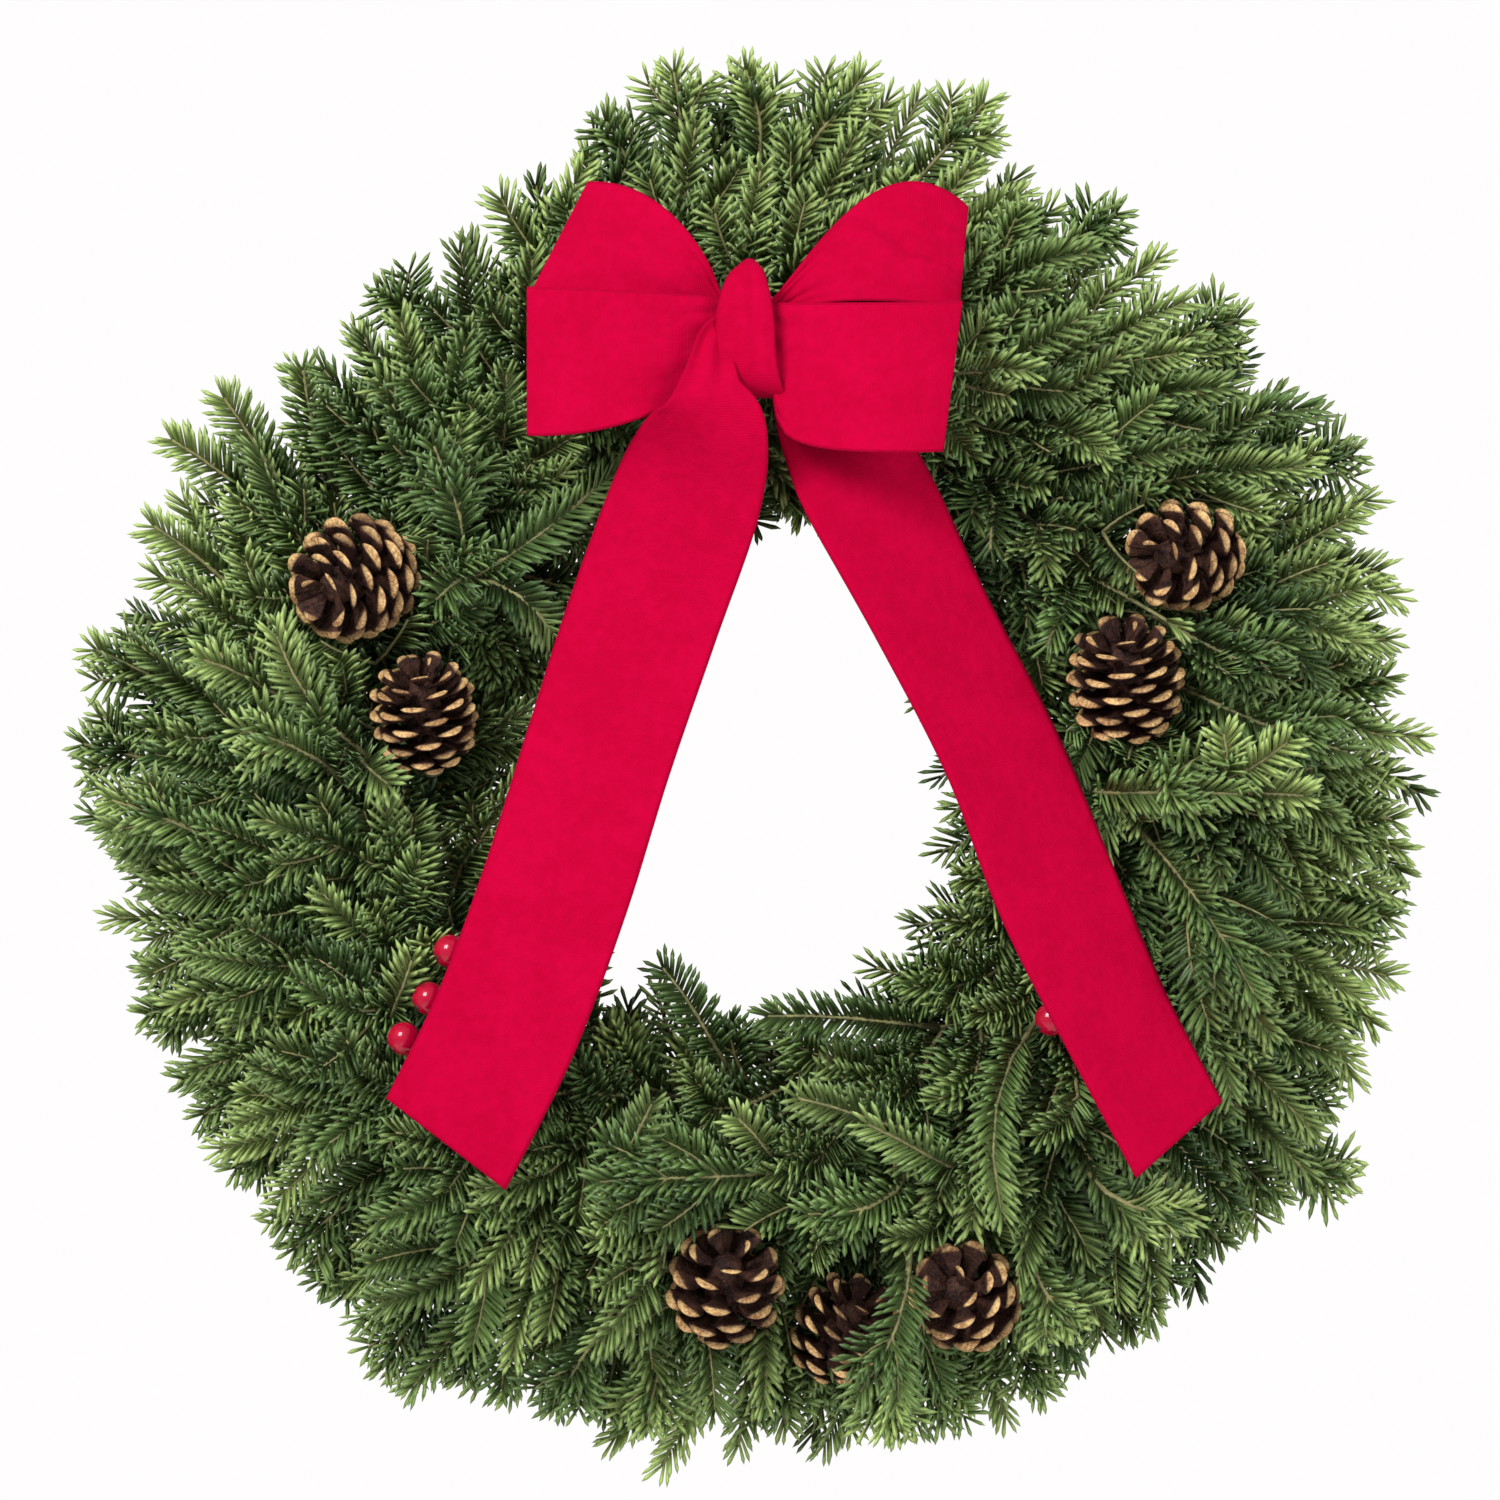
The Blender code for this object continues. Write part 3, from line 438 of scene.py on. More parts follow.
def press_back(points, room):
    """Points moved back, where they stand too far forward, to lie that far behind the ribbon."""
    moved = points.copy()
    moved[..., 1] = np.maximum(points[..., 1], room - greens_limit(points))
    return moved


def in_cone(points, room):
    """Whether each point lies in a cone's room."""
    return (np.linalg.norm(points[..., None, :] - CONE_MIDDLES, axis=-1) < CONE_ROOM + room).any(-1)


def before_cone(points, room):
    """Whether each point stands between a cone and the viewer."""
    away = points[..., None, :] - CONE_MIDDLES
    beside = np.hypot(away[..., 0], away[..., 2])
    return ((beside < 0.90 * CONE_ROOM + room) & (away[..., 1] < 0.3 * CONE_ROOM)).any(-1)


# Fir bundles.
# Each bundle is a handful of cut fir tips, lashed to the ring by its stems in one clamp. A tip is a flat
# spray: a twig with side twigs in one plane, and along each twig ranks of slim needles, darker above and
# paler below, with yellow-green new growth on some tips.
OUTER_REACH = 0.279
INNER_REACH = 0.0935
TWIG_RADIUS = 0.0014
SIDE_TWIG_RADIUS = 0.0009
STALK_RADIUS = 0.0015
TWIG_BEHIND = 0.006
SIDE_TWIG_BEHIND = 0.004
NEEDLE_BEHIND = 0.002


def outer_reach(angle):
    """Radius of the outer tips: the wreath is fuller below and pressed in at the upper left."""
    dent = np.exp(-(((np.degrees(angle) % 360) - 128) / 25) ** 2)
    return OUTER_REACH + 0.012 * np.cos(angle - math.radians(290)) - 0.026 * dent


def inner_reach(angle):
    """Radius of the hole, which is taller than it is wide."""
    return INNER_REACH - 0.013 * np.cos(2 * angle) - 0.008 * np.sin(angle)


# Where the rim stands out or in, and where the hole is wider or narrower: the angle, how much, and over
# how many degrees.
RIM_TUFTS = (
    (80, 0.020, 14), (64, -0.008, 4), (38, -0.012, 4), (30, 0.006, 6), (130, -0.008, 6), (150, -0.010, 7),
    (162, -0.022, 5), (175, -0.020, 4), (181, 0.018, 5), (190, -0.016, 4), (209, -0.012, 5), (225, -0.010, 5),
    (240, 0.012, 5), (250, -0.008, 5), (260, 0.006, 6), (292, 0.012, 10), (324, 0.018, 8), (350, -0.002, 6),
)
HOLE_TUFTS = (
    (334, 0.005, 10), (322, 0.010, 6), (312, -0.004, 5), (301, -0.006, 6), (288, 0.008, 6), (270, -0.002, 8),
    (260, 0.006, 5), (250, -0.008, 7), (85, 0.004, 10),
)


def tufts_at(angle, tufts):
    """The sum of the tufts at an angle, each a bell about its own angle."""
    away = (math.degrees(angle) - np.array([tuft[0] for tuft in tufts]) + 180) % 360 - 180
    size, wide = np.array([tuft[1:] for tuft in tufts]).T
    return float((size * np.exp(-((away / wide) ** 2))).sum())


def radius_at(angle, reach):
    """Radius at a reach from the hole (-1) to the outer rim (1), with the tufts at either end."""
    inner, outer = inner_reach(angle) + 0.007, outer_reach(angle) + 0.004
    middle = (inner + outer) / 2 + reach * (outer - inner) / 2
    tufts = tufts_at(angle, RIM_TUFTS if reach > 0 else HOLE_TUFTS)
    return middle + tufts * reach**2


def on_curve(controls, share):
    """Points and directions of cubic curves at shares along them (share has one value for each row)."""
    t = share[..., None]
    a, b, c, d = (controls[..., i, :] for i in range(4))
    point = (1 - t) ** 3 * a + 3 * (1 - t) ** 2 * t * b + 3 * (1 - t) * t**2 * c + t**3 * d
    way = (1 - t) ** 2 * (b - a) + 2 * (1 - t) * t * (c - b) + t**2 * (d - c)
    return point, unit(way)


def sampled(controls, count):
    """Points along each of an array of cubic curves."""
    shares = np.linspace(0, 1, count)[None, :].repeat(len(controls), 0)
    return on_curve(controls[:, None], shares)[0]


NEEDLE_PITCH = 0.0036
NEEDLE_LENGTH = 0.0140
NEEDLE_WIDTH = 0.0019
NEEDLE_THICK = 0.0006
FEWEST_IN_RANK = 3
RANKS = np.radians([-86.0, 86.0, -58.0, 58.0])
RANK_LENGTHS = np.array([1.0, 1.0, 0.88, 0.88])
RANK_SPREADS = np.radians([62.0, 62.0, 54.0, 54.0])


def needle_shapes(foot, start, bend, upper, length, width):
    """Needles as slim blades: two edges at the foot, three edges at 80% of the length, and one tip.

    The two upper edges lie half a width to either side and the keel lies below. The blade's line is the
    start way times the length, plus the bend way times a fifth of it, growing with the square along. Where
    a needle would touch the back of the ribbon it leans back, and its foot stays on the twig.
    """
    length, width = length[:, None], width[:, None]
    middle = foot + start * length * 0.80 + bend * length * 0.2 * 0.64
    tip = foot + start * length + bend * length * 0.2
    side = unit(np.cross(start, upper))
    points = np.stack(
        [
            foot + side * width * 0.30, foot - side * width * 0.30,
            middle + side * width * 0.5, middle - side * width * 0.5, middle - upper * NEEDLE_THICK,
            tip,
        ],
        axis=1,
    )
    over = np.maximum(NEEDLE_BEHIND - greens_limit(points[:, 2:]) - points[:, 2:, 1], 0).max(1)
    points[..., 1] += over[:, None] * 1.25 * np.array([0, 0, 0.8, 0.8, 0.8, 1.0])
    corners = np.array(
        [(0, 2, 3), (0, 3, 1), (1, 3, 4), (0, 4, 2), (1, 4, 0), (2, 5, 3), (3, 5, 4), (4, 5, 2)]
    )
    return points, corners


# Kinds of spray in a bundle: the reach and depth of the tip, its place across the bundle, its lean from
# outward to clockwise in degrees, how much it points to the front, its new growth, its side twigs, each
# pair by the share of the twig where it grows and its length as a share of the twig's, and how far apart
# its needles stand. The sparse kinds are fillers deep among the others, and their green is darkened by the
# square of that spacing as painted shade.
PAIRS = ((0.42, 0.40), (0.68, 0.30))
ONE_PAIR = ((0.56, 0.34),)
SPRAY_KINDS = (
    (1.00, 0.042, -0.30, 10, 0.05, 1.3, PAIRS, 1.0),
    (0.97, 0.032, 0.05, 26, 0.00, 1.1, PAIRS, 1.0),
    (1.00, 0.050, 0.38, 28, 0.05, 1.3, PAIRS, 1.0),
    (0.84, 0.066, -0.12, 8, 0.12, 0.5, PAIRS, 1.0),
    (0.80, 0.072, 0.30, 34, 0.15, 0.5, PAIRS, 1.0),
    (0.56, 0.085, -0.30, 20, 0.22, 0.4, PAIRS, 1.0),
    (0.50, 0.088, 0.16, 44, 0.22, 0.4, PAIRS, 1.0),
    (0.16, 0.094, -0.06, 62, 0.30, 0.4, PAIRS, 1.0),
    (0.04, 0.093, 0.40, 84, 0.28, 0.4, ONE_PAIR, 1.0),
    (-0.38, 0.087, -0.24, 118, 0.22, 0.4, PAIRS, 1.0),
    (-0.54, 0.082, 0.22, 134, 0.18, 0.3, ONE_PAIR, 1.0),
    (-0.84, 0.062, 0.04, 148, 0.08, 0.4, PAIRS, 1.0),
    (-0.98, 0.038, -0.30, 152, 0.00, 0.5, ONE_PAIR, 1.0),
    (-0.96, 0.030, 0.30, 140, 0.00, 0.3, ONE_PAIR, 1.3),
    (0.96, 0.014, -0.22, 18, -0.05, 0.8, ONE_PAIR, 1.2),
    (0.98, 0.018, 0.26, 30, -0.03, 0.8, ONE_PAIR, 1.2),
    (0.92, 0.028, -0.06, 14, 0.00, 0.6, PAIRS, 1.2),
    (0.90, 0.054, 0.14, 24, 0.05, 0.5, PAIRS, 1.0),
    (0.68, 0.044, 0.06, 20, 0.05, 0.0, ONE_PAIR, 1.7),
    (0.30, 0.060, 0.22, 40, 0.15, 0.0, ONE_PAIR, 1.6),
    (-0.06, 0.066, -0.16, 90, 0.20, 0.0, ONE_PAIR, 1.6),
    (-0.46, 0.058, 0.34, 120, 0.10, 0.0, ONE_PAIR, 1.6),
    (-0.88, 0.018, 0.06, 158, -0.03, 0.0, ONE_PAIR, 1.7),
    (-0.66, 0.014, -0.36, 150, -0.03, 0.0, ONE_PAIR, 1.7),
    (-0.30, 0.020, 0.20, 100, 0.00, 0.0, PAIRS, 1.7),
    (-0.52, 0.034, -0.10, 110, 0.00, 0.0, PAIRS, 1.7),
    (-0.16, 0.034, -0.34, 84, 0.00, 0.0, PAIRS, 1.7),
    (0.20, 0.022, 0.36, 60, 0.00, 0.0, PAIRS, 1.7),
    (0.46, 0.030, -0.10, 40, 0.00, 0.0, ONE_PAIR, 1.7),
)
# Sprays that stand out in the photograph: the pixels across and down of the root and of the tip, the
# tip's depth, how far the twig bows to its left as a share of its length, its new growth and side twigs.
# Each grows on a bare stalk from among its bundle's stems at the ring.
PLACED_SPRAYS = (
    ((478, 572), (620, 464), 0.106, 0.04, 0.3, ()),
    ((476, 568), (434, 446), 0.104, 0.03, 0.2, ONE_PAIR),
    ((482, 574), (558, 642), 0.104, -0.10, 0.4, ()),
    ((474, 572), (436, 600), 0.102, 0.05, 0.1, ()),
    ((362, 738), (277, 636), 0.104, -0.12, 0.8, ()),
    ((322, 762), (242, 730), 0.106, 0.05, 0.8, ONE_PAIR),
    ((350, 744), (388, 784), 0.100, 0.05, 0.6, ()),
    ((272, 694), (204, 660), 0.100, 0.06, 0.9, ()),
    ((215, 850), (112, 800), 0.088, 0.06, 0.7, ONE_PAIR),
    ((1082, 812), (1238, 794), 0.098, -0.06, 0.3, ONE_PAIR),
    ((1226, 800), (1224, 734), 0.104, 0.06, 1.2, ()),
    ((1232, 796), (1288, 742), 0.108, -0.04, 1.3, ()),
    ((1236, 802), (1304, 796), 0.104, -0.06, 1.2, ()),
    ((1190, 632), (1280, 674), 0.098, 0.05, 0.3, ONE_PAIR),
    ((1205, 690), (1348, 752), 0.096, 0.05, 0.2, ONE_PAIR),
    ((1150, 850), (1254, 994), 0.096, -0.05, 0.2, PAIRS),
    ((1040, 1040), (1002, 1212), 0.108, 0.16, 0.4, ()),
    ((905, 1150), (798, 1098), 0.104, 0.08, 0.5, ()),
    ((965, 1200), (868, 1124), 0.106, 0.08, 0.6, ()),
    ((764, 1176), (738, 1118), 0.100, 0.15, 0.8, ()),
    ((574, 1188), (652, 1104), 0.102, 0.12, 0.4, ()),
    ((912, 1285), (860, 1392), 0.108, -0.06, 0.3, ONE_PAIR),
    ((736, 488), (756, 524), 0.060, 0.04, 0.2, ()),
    ((790, 455), (782, 500), 0.050, 0.04, 0.0, ONE_PAIR),
    ((770, 450), (798, 496), 0.044, 0.04, 0.0, ONE_PAIR),
    ((724, 186), (722, 112), 0.040, 0.04, 0.3, ONE_PAIR),
    ((1222, 476), (1296, 436), 0.036, 0.04, 0.2, ONE_PAIR),
    ((1250, 530), (1334, 516), 0.036, 0.04, 0.2, ONE_PAIR),
    ((732, 1080), (728, 1024), 0.050, 0.04, 0.1, ONE_PAIR),
    ((640, 1352), (628, 1420), 0.038, 0.04, 0.2, ONE_PAIR),
    ((1110, 1212), (1172, 1282), 0.036, 0.04, 0.2, ONE_PAIR),
    ((1078, 1232), (1126, 1296), 0.036, 0.04, 0.2, ONE_PAIR),
    ((950, 1306), (978, 1378), 0.036, 0.04, 0.2, ONE_PAIR),
    ((1014, 904), (966, 872), 0.050, 0.04, 0.0, ONE_PAIR),
    ((1024, 836), (972, 816), 0.050, 0.04, 0.0, ONE_PAIR),
    ((962, 1012), (908, 976), 0.046, 0.04, 0.0, ONE_PAIR),
    ((1262, 1002), (1344, 1022), 0.036, 0.04, 0.2, ONE_PAIR),
    ((986, 252), (1030, 214), 0.040, 0.04, 0.2, ONE_PAIR),
    ((524, 568), (576, 592), 0.046, 0.04, 0.0, ONE_PAIR),
    ((512, 616), (566, 640), 0.046, 0.04, 0.0, ONE_PAIR),
    ((648, 222), (626, 166), 0.040, 0.04, 0.2, ONE_PAIR),
    ((562, 264), (526, 222), 0.040, 0.04, 0.2, ONE_PAIR),
    ((622, 1082), (626, 1016), 0.046, 0.04, 0.0, ONE_PAIR),
    ((388, 1226), (324, 1280), 0.036, 0.04, 0.2, ONE_PAIR),
    ((776, 1194), (600, 1182), 0.100, 0.05, 0.2, PAIRS),
    ((914, 1198), (808, 1214), 0.098, -0.06, 0.2, ONE_PAIR),
    ((1030, 1270), (1074, 1326), 0.090, 0.05, 0.8, ONE_PAIR),
    ((802, 1250), (846, 1346), 0.024, 0.05, 0.0, PAIRS),
    ((786, 1320), (842, 1392), 0.036, 0.05, 0.1, PAIRS),
    ((846, 1310), (884, 1388), 0.034, 0.05, 0.1, ONE_PAIR),
    ((1088, 516), (1140, 574), 0.036, 0.05, 0.0, PAIRS),
    ((350, 716), (412, 762), 0.040, 0.05, 0.0, PAIRS),
    ((1030, 690), (1082, 668), 0.040, 0.05, 0.0, ONE_PAIR),
    ((640, 182), (606, 122), 0.050, 0.04, 0.5, ONE_PAIR),
    ((430, 330), (386, 290), 0.046, 0.04, 0.4, ONE_PAIR),
    ((1050, 250), (1116, 214), 0.048, 0.04, 0.4, ONE_PAIR),
    ((1284, 462), (1352, 456), 0.050, 0.04, 0.5, ONE_PAIR),
    ((1312, 702), (1384, 678), 0.048, 0.04, 0.5, ONE_PAIR),
    ((1314, 892), (1388, 918), 0.048, 0.04, 0.5, ONE_PAIR),
    ((1258, 1066), (1326, 1106), 0.048, 0.04, 0.5, ONE_PAIR),
    ((1212, 1120), (1276, 1198), 0.048, 0.04, 0.5, PAIRS),
    ((1168, 1176), (1220, 1242), 0.046, 0.04, 0.4, ONE_PAIR),
    ((1090, 1256), (1132, 1326), 0.046, 0.04, 0.4, ONE_PAIR),
    ((1000, 1300), (1042, 1390), 0.048, 0.04, 0.5, PAIRS),
    ((918, 1330), (942, 1420), 0.046, 0.04, 0.5, PAIRS),
    ((772, 1340), (786, 1424), 0.046, 0.04, 0.5, ONE_PAIR),
    ((626, 1320), (606, 1408), 0.046, 0.04, 0.5, ONE_PAIR),
    ((436, 1290), (386, 1364), 0.048, 0.04, 0.5, PAIRS),
    ((492, 1312), (462, 1376), 0.044, 0.04, 0.4, ONE_PAIR),
    ((362, 1196), (296, 1248), 0.046, 0.04, 0.5, ONE_PAIR),
    ((312, 1130), (236, 1168), 0.046, 0.04, 0.5, ONE_PAIR),
    ((282, 1080), (204, 1114), 0.046, 0.04, 0.5, ONE_PAIR),
    ((232, 1000), (148, 1014), 0.046, 0.04, 0.5, ONE_PAIR),
    ((172, 772), (84, 744), 0.048, 0.04, 0.5, ONE_PAIR),
    ((705, 1050), (663, 968), 0.075, 0.08, 0.1, ()),
    ((915, 1038), (768, 1016), 0.078, 0.06, 0.2, ()),
    ((1098, 1204), (1190, 1216), 0.098, 0.05, 1.1, PAIRS),
    ((362, 1030), (412, 960), 0.092, 0.12, 0.8, ()),
    ((505, 590), (532, 700), 0.050, 0.05, 0.0, PAIRS),
    ((470, 600), (500, 670), 0.056, -0.05, 0.0, PAIRS),
    ((440, 800), (520, 690), 0.046, -0.08, 0.0, PAIRS),
    ((420, 650), (480, 760), 0.036, -0.05, 0.0, PAIRS),
    ((330, 500), (420, 560), 0.036, 0.05, 0.0, PAIRS),
    ((1085, 700), (1030, 640), 0.046, -0.05, 0.0, PAIRS),
    ((1130, 600), (1060, 620), 0.040, 0.05, 0.0, PAIRS),
    ((684, 160), (674, 72), 0.060, 0.03, 1.0, ONE_PAIR),
    ((768, 154), (746, 70), 0.058, 0.04, 1.2, ONE_PAIR),
    ((785, 160), (862, 78), 0.060, 0.04, 1.2, ONE_PAIR),
    ((905, 180), (984, 104), 0.058, 0.04, 1.1, ONE_PAIR),
    ((600, 1340), (556, 1405), 0.066, 0.05, 0.3, ONE_PAIR),
    ((1280, 1164), (1346, 1180), 0.052, 0.04, 0.8, ONE_PAIR),
    ((182, 698), (96, 650), 0.060, 0.04, 0.8, ONE_PAIR),
    ((252, 498), (172, 440), 0.058, 0.03, 1.2, ()),
    ((270, 474), (224, 398), 0.062, 0.03, 0.9, ()),
    ((309, 456), (303, 370), 0.062, 0.03, 0.5, ()),
    ((222, 579), (154, 526), 0.060, 0.03, 1.2, ()),
    ((1165, 336), (1238, 320), 0.056, 0.04, 0.6, ONE_PAIR),
    ((1310, 560), (1378, 572), 0.050, 0.04, 0.8, ()),
    ((1296, 786), (1392, 820), 0.050, 0.04, 0.8, ONE_PAIR),
    ((668, 1346), (648, 1424), 0.058, 0.04, 0.8, ONE_PAIR),
    ((872, 1360), (898, 1430), 0.052, 0.04, 0.7, ONE_PAIR),
)


# How far behind the tip the root lies, and how far from its root towards the ring a spray starts.
ROOT_BEHIND = 0.010
STALK_SHORTER = 0.022


def seen_at(pixel, depth):
    """The place at a depth that shows at a pixel of the photograph, given across and down."""
    size = PIXEL * (1 - (depth - SCALE_DEPTH) / CAMERA_AWAY)
    return from_ring(((pixel[0] - PHOTO_MIDDLE[0]) * size, (PHOTO_MIDDLE[1] - pixel[1]) * size, depth))


def own_bundle(place):
    """The number of the bundle in whose room a place lies."""
    radius = math.hypot(place[0], place[2] - RING_UP)
    turned = math.atan2(place[2] - RING_UP, place[0]) + swirl(radius, -place[1])
    return round((FIRST_BUNDLE - turned) / BUNDLE_STEP) % BUNDLES


def spray(controls, normal, fresh, pairs, sparse_and_shaded, placed, draw):
    """The twigs of a spray, one row each: control points, plane's normal, radius, bare share, growth, how
    far apart its needles stand, which also darkens sparse sprays as painted shade, and whether it was placed.

    Side twigs leave the main one in pairs, in its plane, at 38 to 52 degrees, and turn in towards its tip.
    """
    length = np.linalg.norm(controls[3] - controls[0])
    rows = [(controls, normal, TWIG_RADIUS, 0.12, fresh, sparse_and_shaded, placed)]
    for share, size in pairs:
        start, way = on_curve(controls, np.array(share))
        for hand in (-1, 1):
            reach_out = size * length * draw.uniform(0.75, 1.15)
            spread = math.radians(draw.uniform(38, 52))
            side = unit(np.cross(normal, way)) * hand
            first = way * math.cos(spread) + side * math.sin(spread)
            later = way * math.cos(spread * 0.55) + side * math.sin(spread * 0.55)
            later = later - normal * draw.uniform(-0.08, 0.16)
            end = start + first * reach_out * 0.45 + later * reach_out * 0.55
            twig = np.array([start, start + first * reach_out * 0.33, end - later * reach_out * 0.3, end])
            grown = fresh * draw.uniform(0.6, 1.3)
            twig = press_back(twig, SIDE_TWIG_BEHIND)
            rows.append((twig, normal, SIDE_TWIG_RADIUS, 0.05, grown, sparse_and_shaded, placed))
    return rows


def bundle_twigs(number, draw):
    """The twigs of a bundle as columns of the rows of its sprays: of each kind, then the placed ones.

    A spray of a kind leaves along the ring's wire, and ends in the way that its lean gives, with small
    random turns. A placed one bows by its own share, starts a little towards the ring, and its stalk joins
    it smoothly. What would lie in a cone or before one is left out, but for placed sprays.
    """
    rows = []
    for reach, depth, across, lean, front, young, pairs, sparse_and_shaded in SPRAY_KINDS:
        across += draw.uniform(-0.12, 0.12)
        depth += draw.uniform(-0.006, 0.006)
        reach += draw.uniform(-0.12, 0.06)
        lean = math.radians(lean + draw.uniform(-1, 1) * (36 - 16 * abs(reach)))
        guess = FIRST_BUNDLE - (number - across) * BUNDLE_STEP - 0.3
        angle = FIRST_BUNDLE - (number - across) * BUNDLE_STEP - swirl(radius_at(guess, reach), depth)
        tip = spot(radius_at(angle, reach), angle, depth)
        outward = np.array([math.cos(angle), 0, math.sin(angle)])
        clockwise = np.array([math.sin(angle), 0, -math.cos(angle)])
        end_way = unit(outward * math.cos(lean) + clockwise * math.sin(lean) + FORWARD * front)
        root_angle = angle + draw.uniform(0.30, 0.44)
        root_radius = RING_RADIUS + 0.008 * reach + draw.uniform(-0.006, 0.006)
        root = spot(root_radius, root_angle, 0.008 + 0.22 * depth)
        along_ring = np.array([math.sin(root_angle), 0, -math.cos(root_angle)])
        length = np.linalg.norm(tip - root)
        controls = np.array([
            root,
            root + along_ring * 0.32 * length + FORWARD * 0.16 * depth,
            tip - end_way * 0.44 * length,
            tip,
        ])
        roll = math.radians(draw.uniform(-24, 24))
        facing = FORWARD + 0.30 * outward * reach
        facing = unit(facing - end_way * (facing @ end_way))
        normal = facing * math.cos(roll) + np.cross(end_way, facing) * math.sin(roll)
        fresh = young * draw.uniform(0.2, 1.6)
        rows += spray(press_back(controls, TWIG_BEHIND), normal, fresh, pairs, sparse_and_shaded, 0, draw)
    for root, tip, depth, bow, fresh, pairs in PLACED_SPRAYS:
        root, tip = seen_at(root, depth - ROOT_BEHIND), seen_at(tip, depth)
        if own_bundle(root) != number:
            continue
        angle = math.atan2(root[2] - RING_UP, root[0]) + draw.uniform(0.12, 0.24)
        clamped = spot(RING_RADIUS + draw.uniform(-0.004, 0.004), angle, draw.uniform(0.007, 0.013))
        back = clamped - root
        line = tip - root
        aside = np.cross(line, FORWARD) * 1.3 * bow
        start = root + back * min(0.35, STALK_SHORTER / np.linalg.norm(back))
        controls = np.array([start, root + 0.2 * line + aside, tip - 0.4 * line + aside, tip])
        tilt = 0.12 * np.linalg.norm(line) ** 2 * draw.normal(size=3)
        normal = unit(np.cross(np.cross(line, FORWARD), line) + tilt)
        rows += spray(press_back(controls, TWIG_BEHIND), normal, fresh, pairs, 1.0, 1, draw)
        along_ring = np.array([math.sin(angle), 0, -math.cos(angle)])
        handle = 0.30 * np.linalg.norm(start - clamped)
        way = unit(unit(controls[1] - start) - unit(back))
        stalk = np.array([clamped, clamped + along_ring * handle, start - way * handle, start])
        rows.append((press_back(stalk, TWIG_BEHIND), normal, STALK_RADIUS, 1.0, 0.0, 1.0, 0))
    columns = [np.array(column) for column in zip(*rows)]
    path = sampled(columns[0], 7)[:, 2:]
    blocked = (in_cone(path, -0.003) | before_cone(path, -0.003)).any(-1)
    return [column[~blocked | (columns[6] == 1)] for column in columns]


# Cut stems: their places across the bundle, how far out and how far forward they lie there.
STEM_PLACES = ((0.37, 0.0, 0.0), (0.05, 0.0, 0.0), (-0.04, 0.003, 0.006), (-0.14, 0.016, 0.030))
STEM_RODS = 7


def cut_stems(number, draw):
    """Seven stems packed in the clamp, one in the middle and six round it, as pipes along the bundle."""
    turns = np.arange(STEM_RODS) * math.tau / 6 + 0.3
    away = np.where(np.arange(STEM_RODS) < 6, 0.66 * STEM_RADIUS, 0.0)[:, None]
    across, out, lift = through(STEM_PLACES, np.linspace(0, 3, 13)).T
    ends = draw.uniform(0.0, 0.05, (STEM_RODS, 1)) * np.linspace(1, 0, 13) ** 3
    radius = RING_RADIUS + out + away * np.cos(turns)[:, None]
    depth = STEM_DEPTH + lift + away * np.sin(turns)[:, None]
    thick = np.full((STEM_RODS, 13), 0.32 * STEM_RADIUS)
    points, triangles = pipes(cell_place(number, across - ends, radius, depth), thick, 6, FORWARD)
    pale = np.zeros((STEM_RODS, 13 * 6 + 2))
    pale[:, -2] = 1.0
    return points, triangles, 1, {"growth": pale.ravel()}


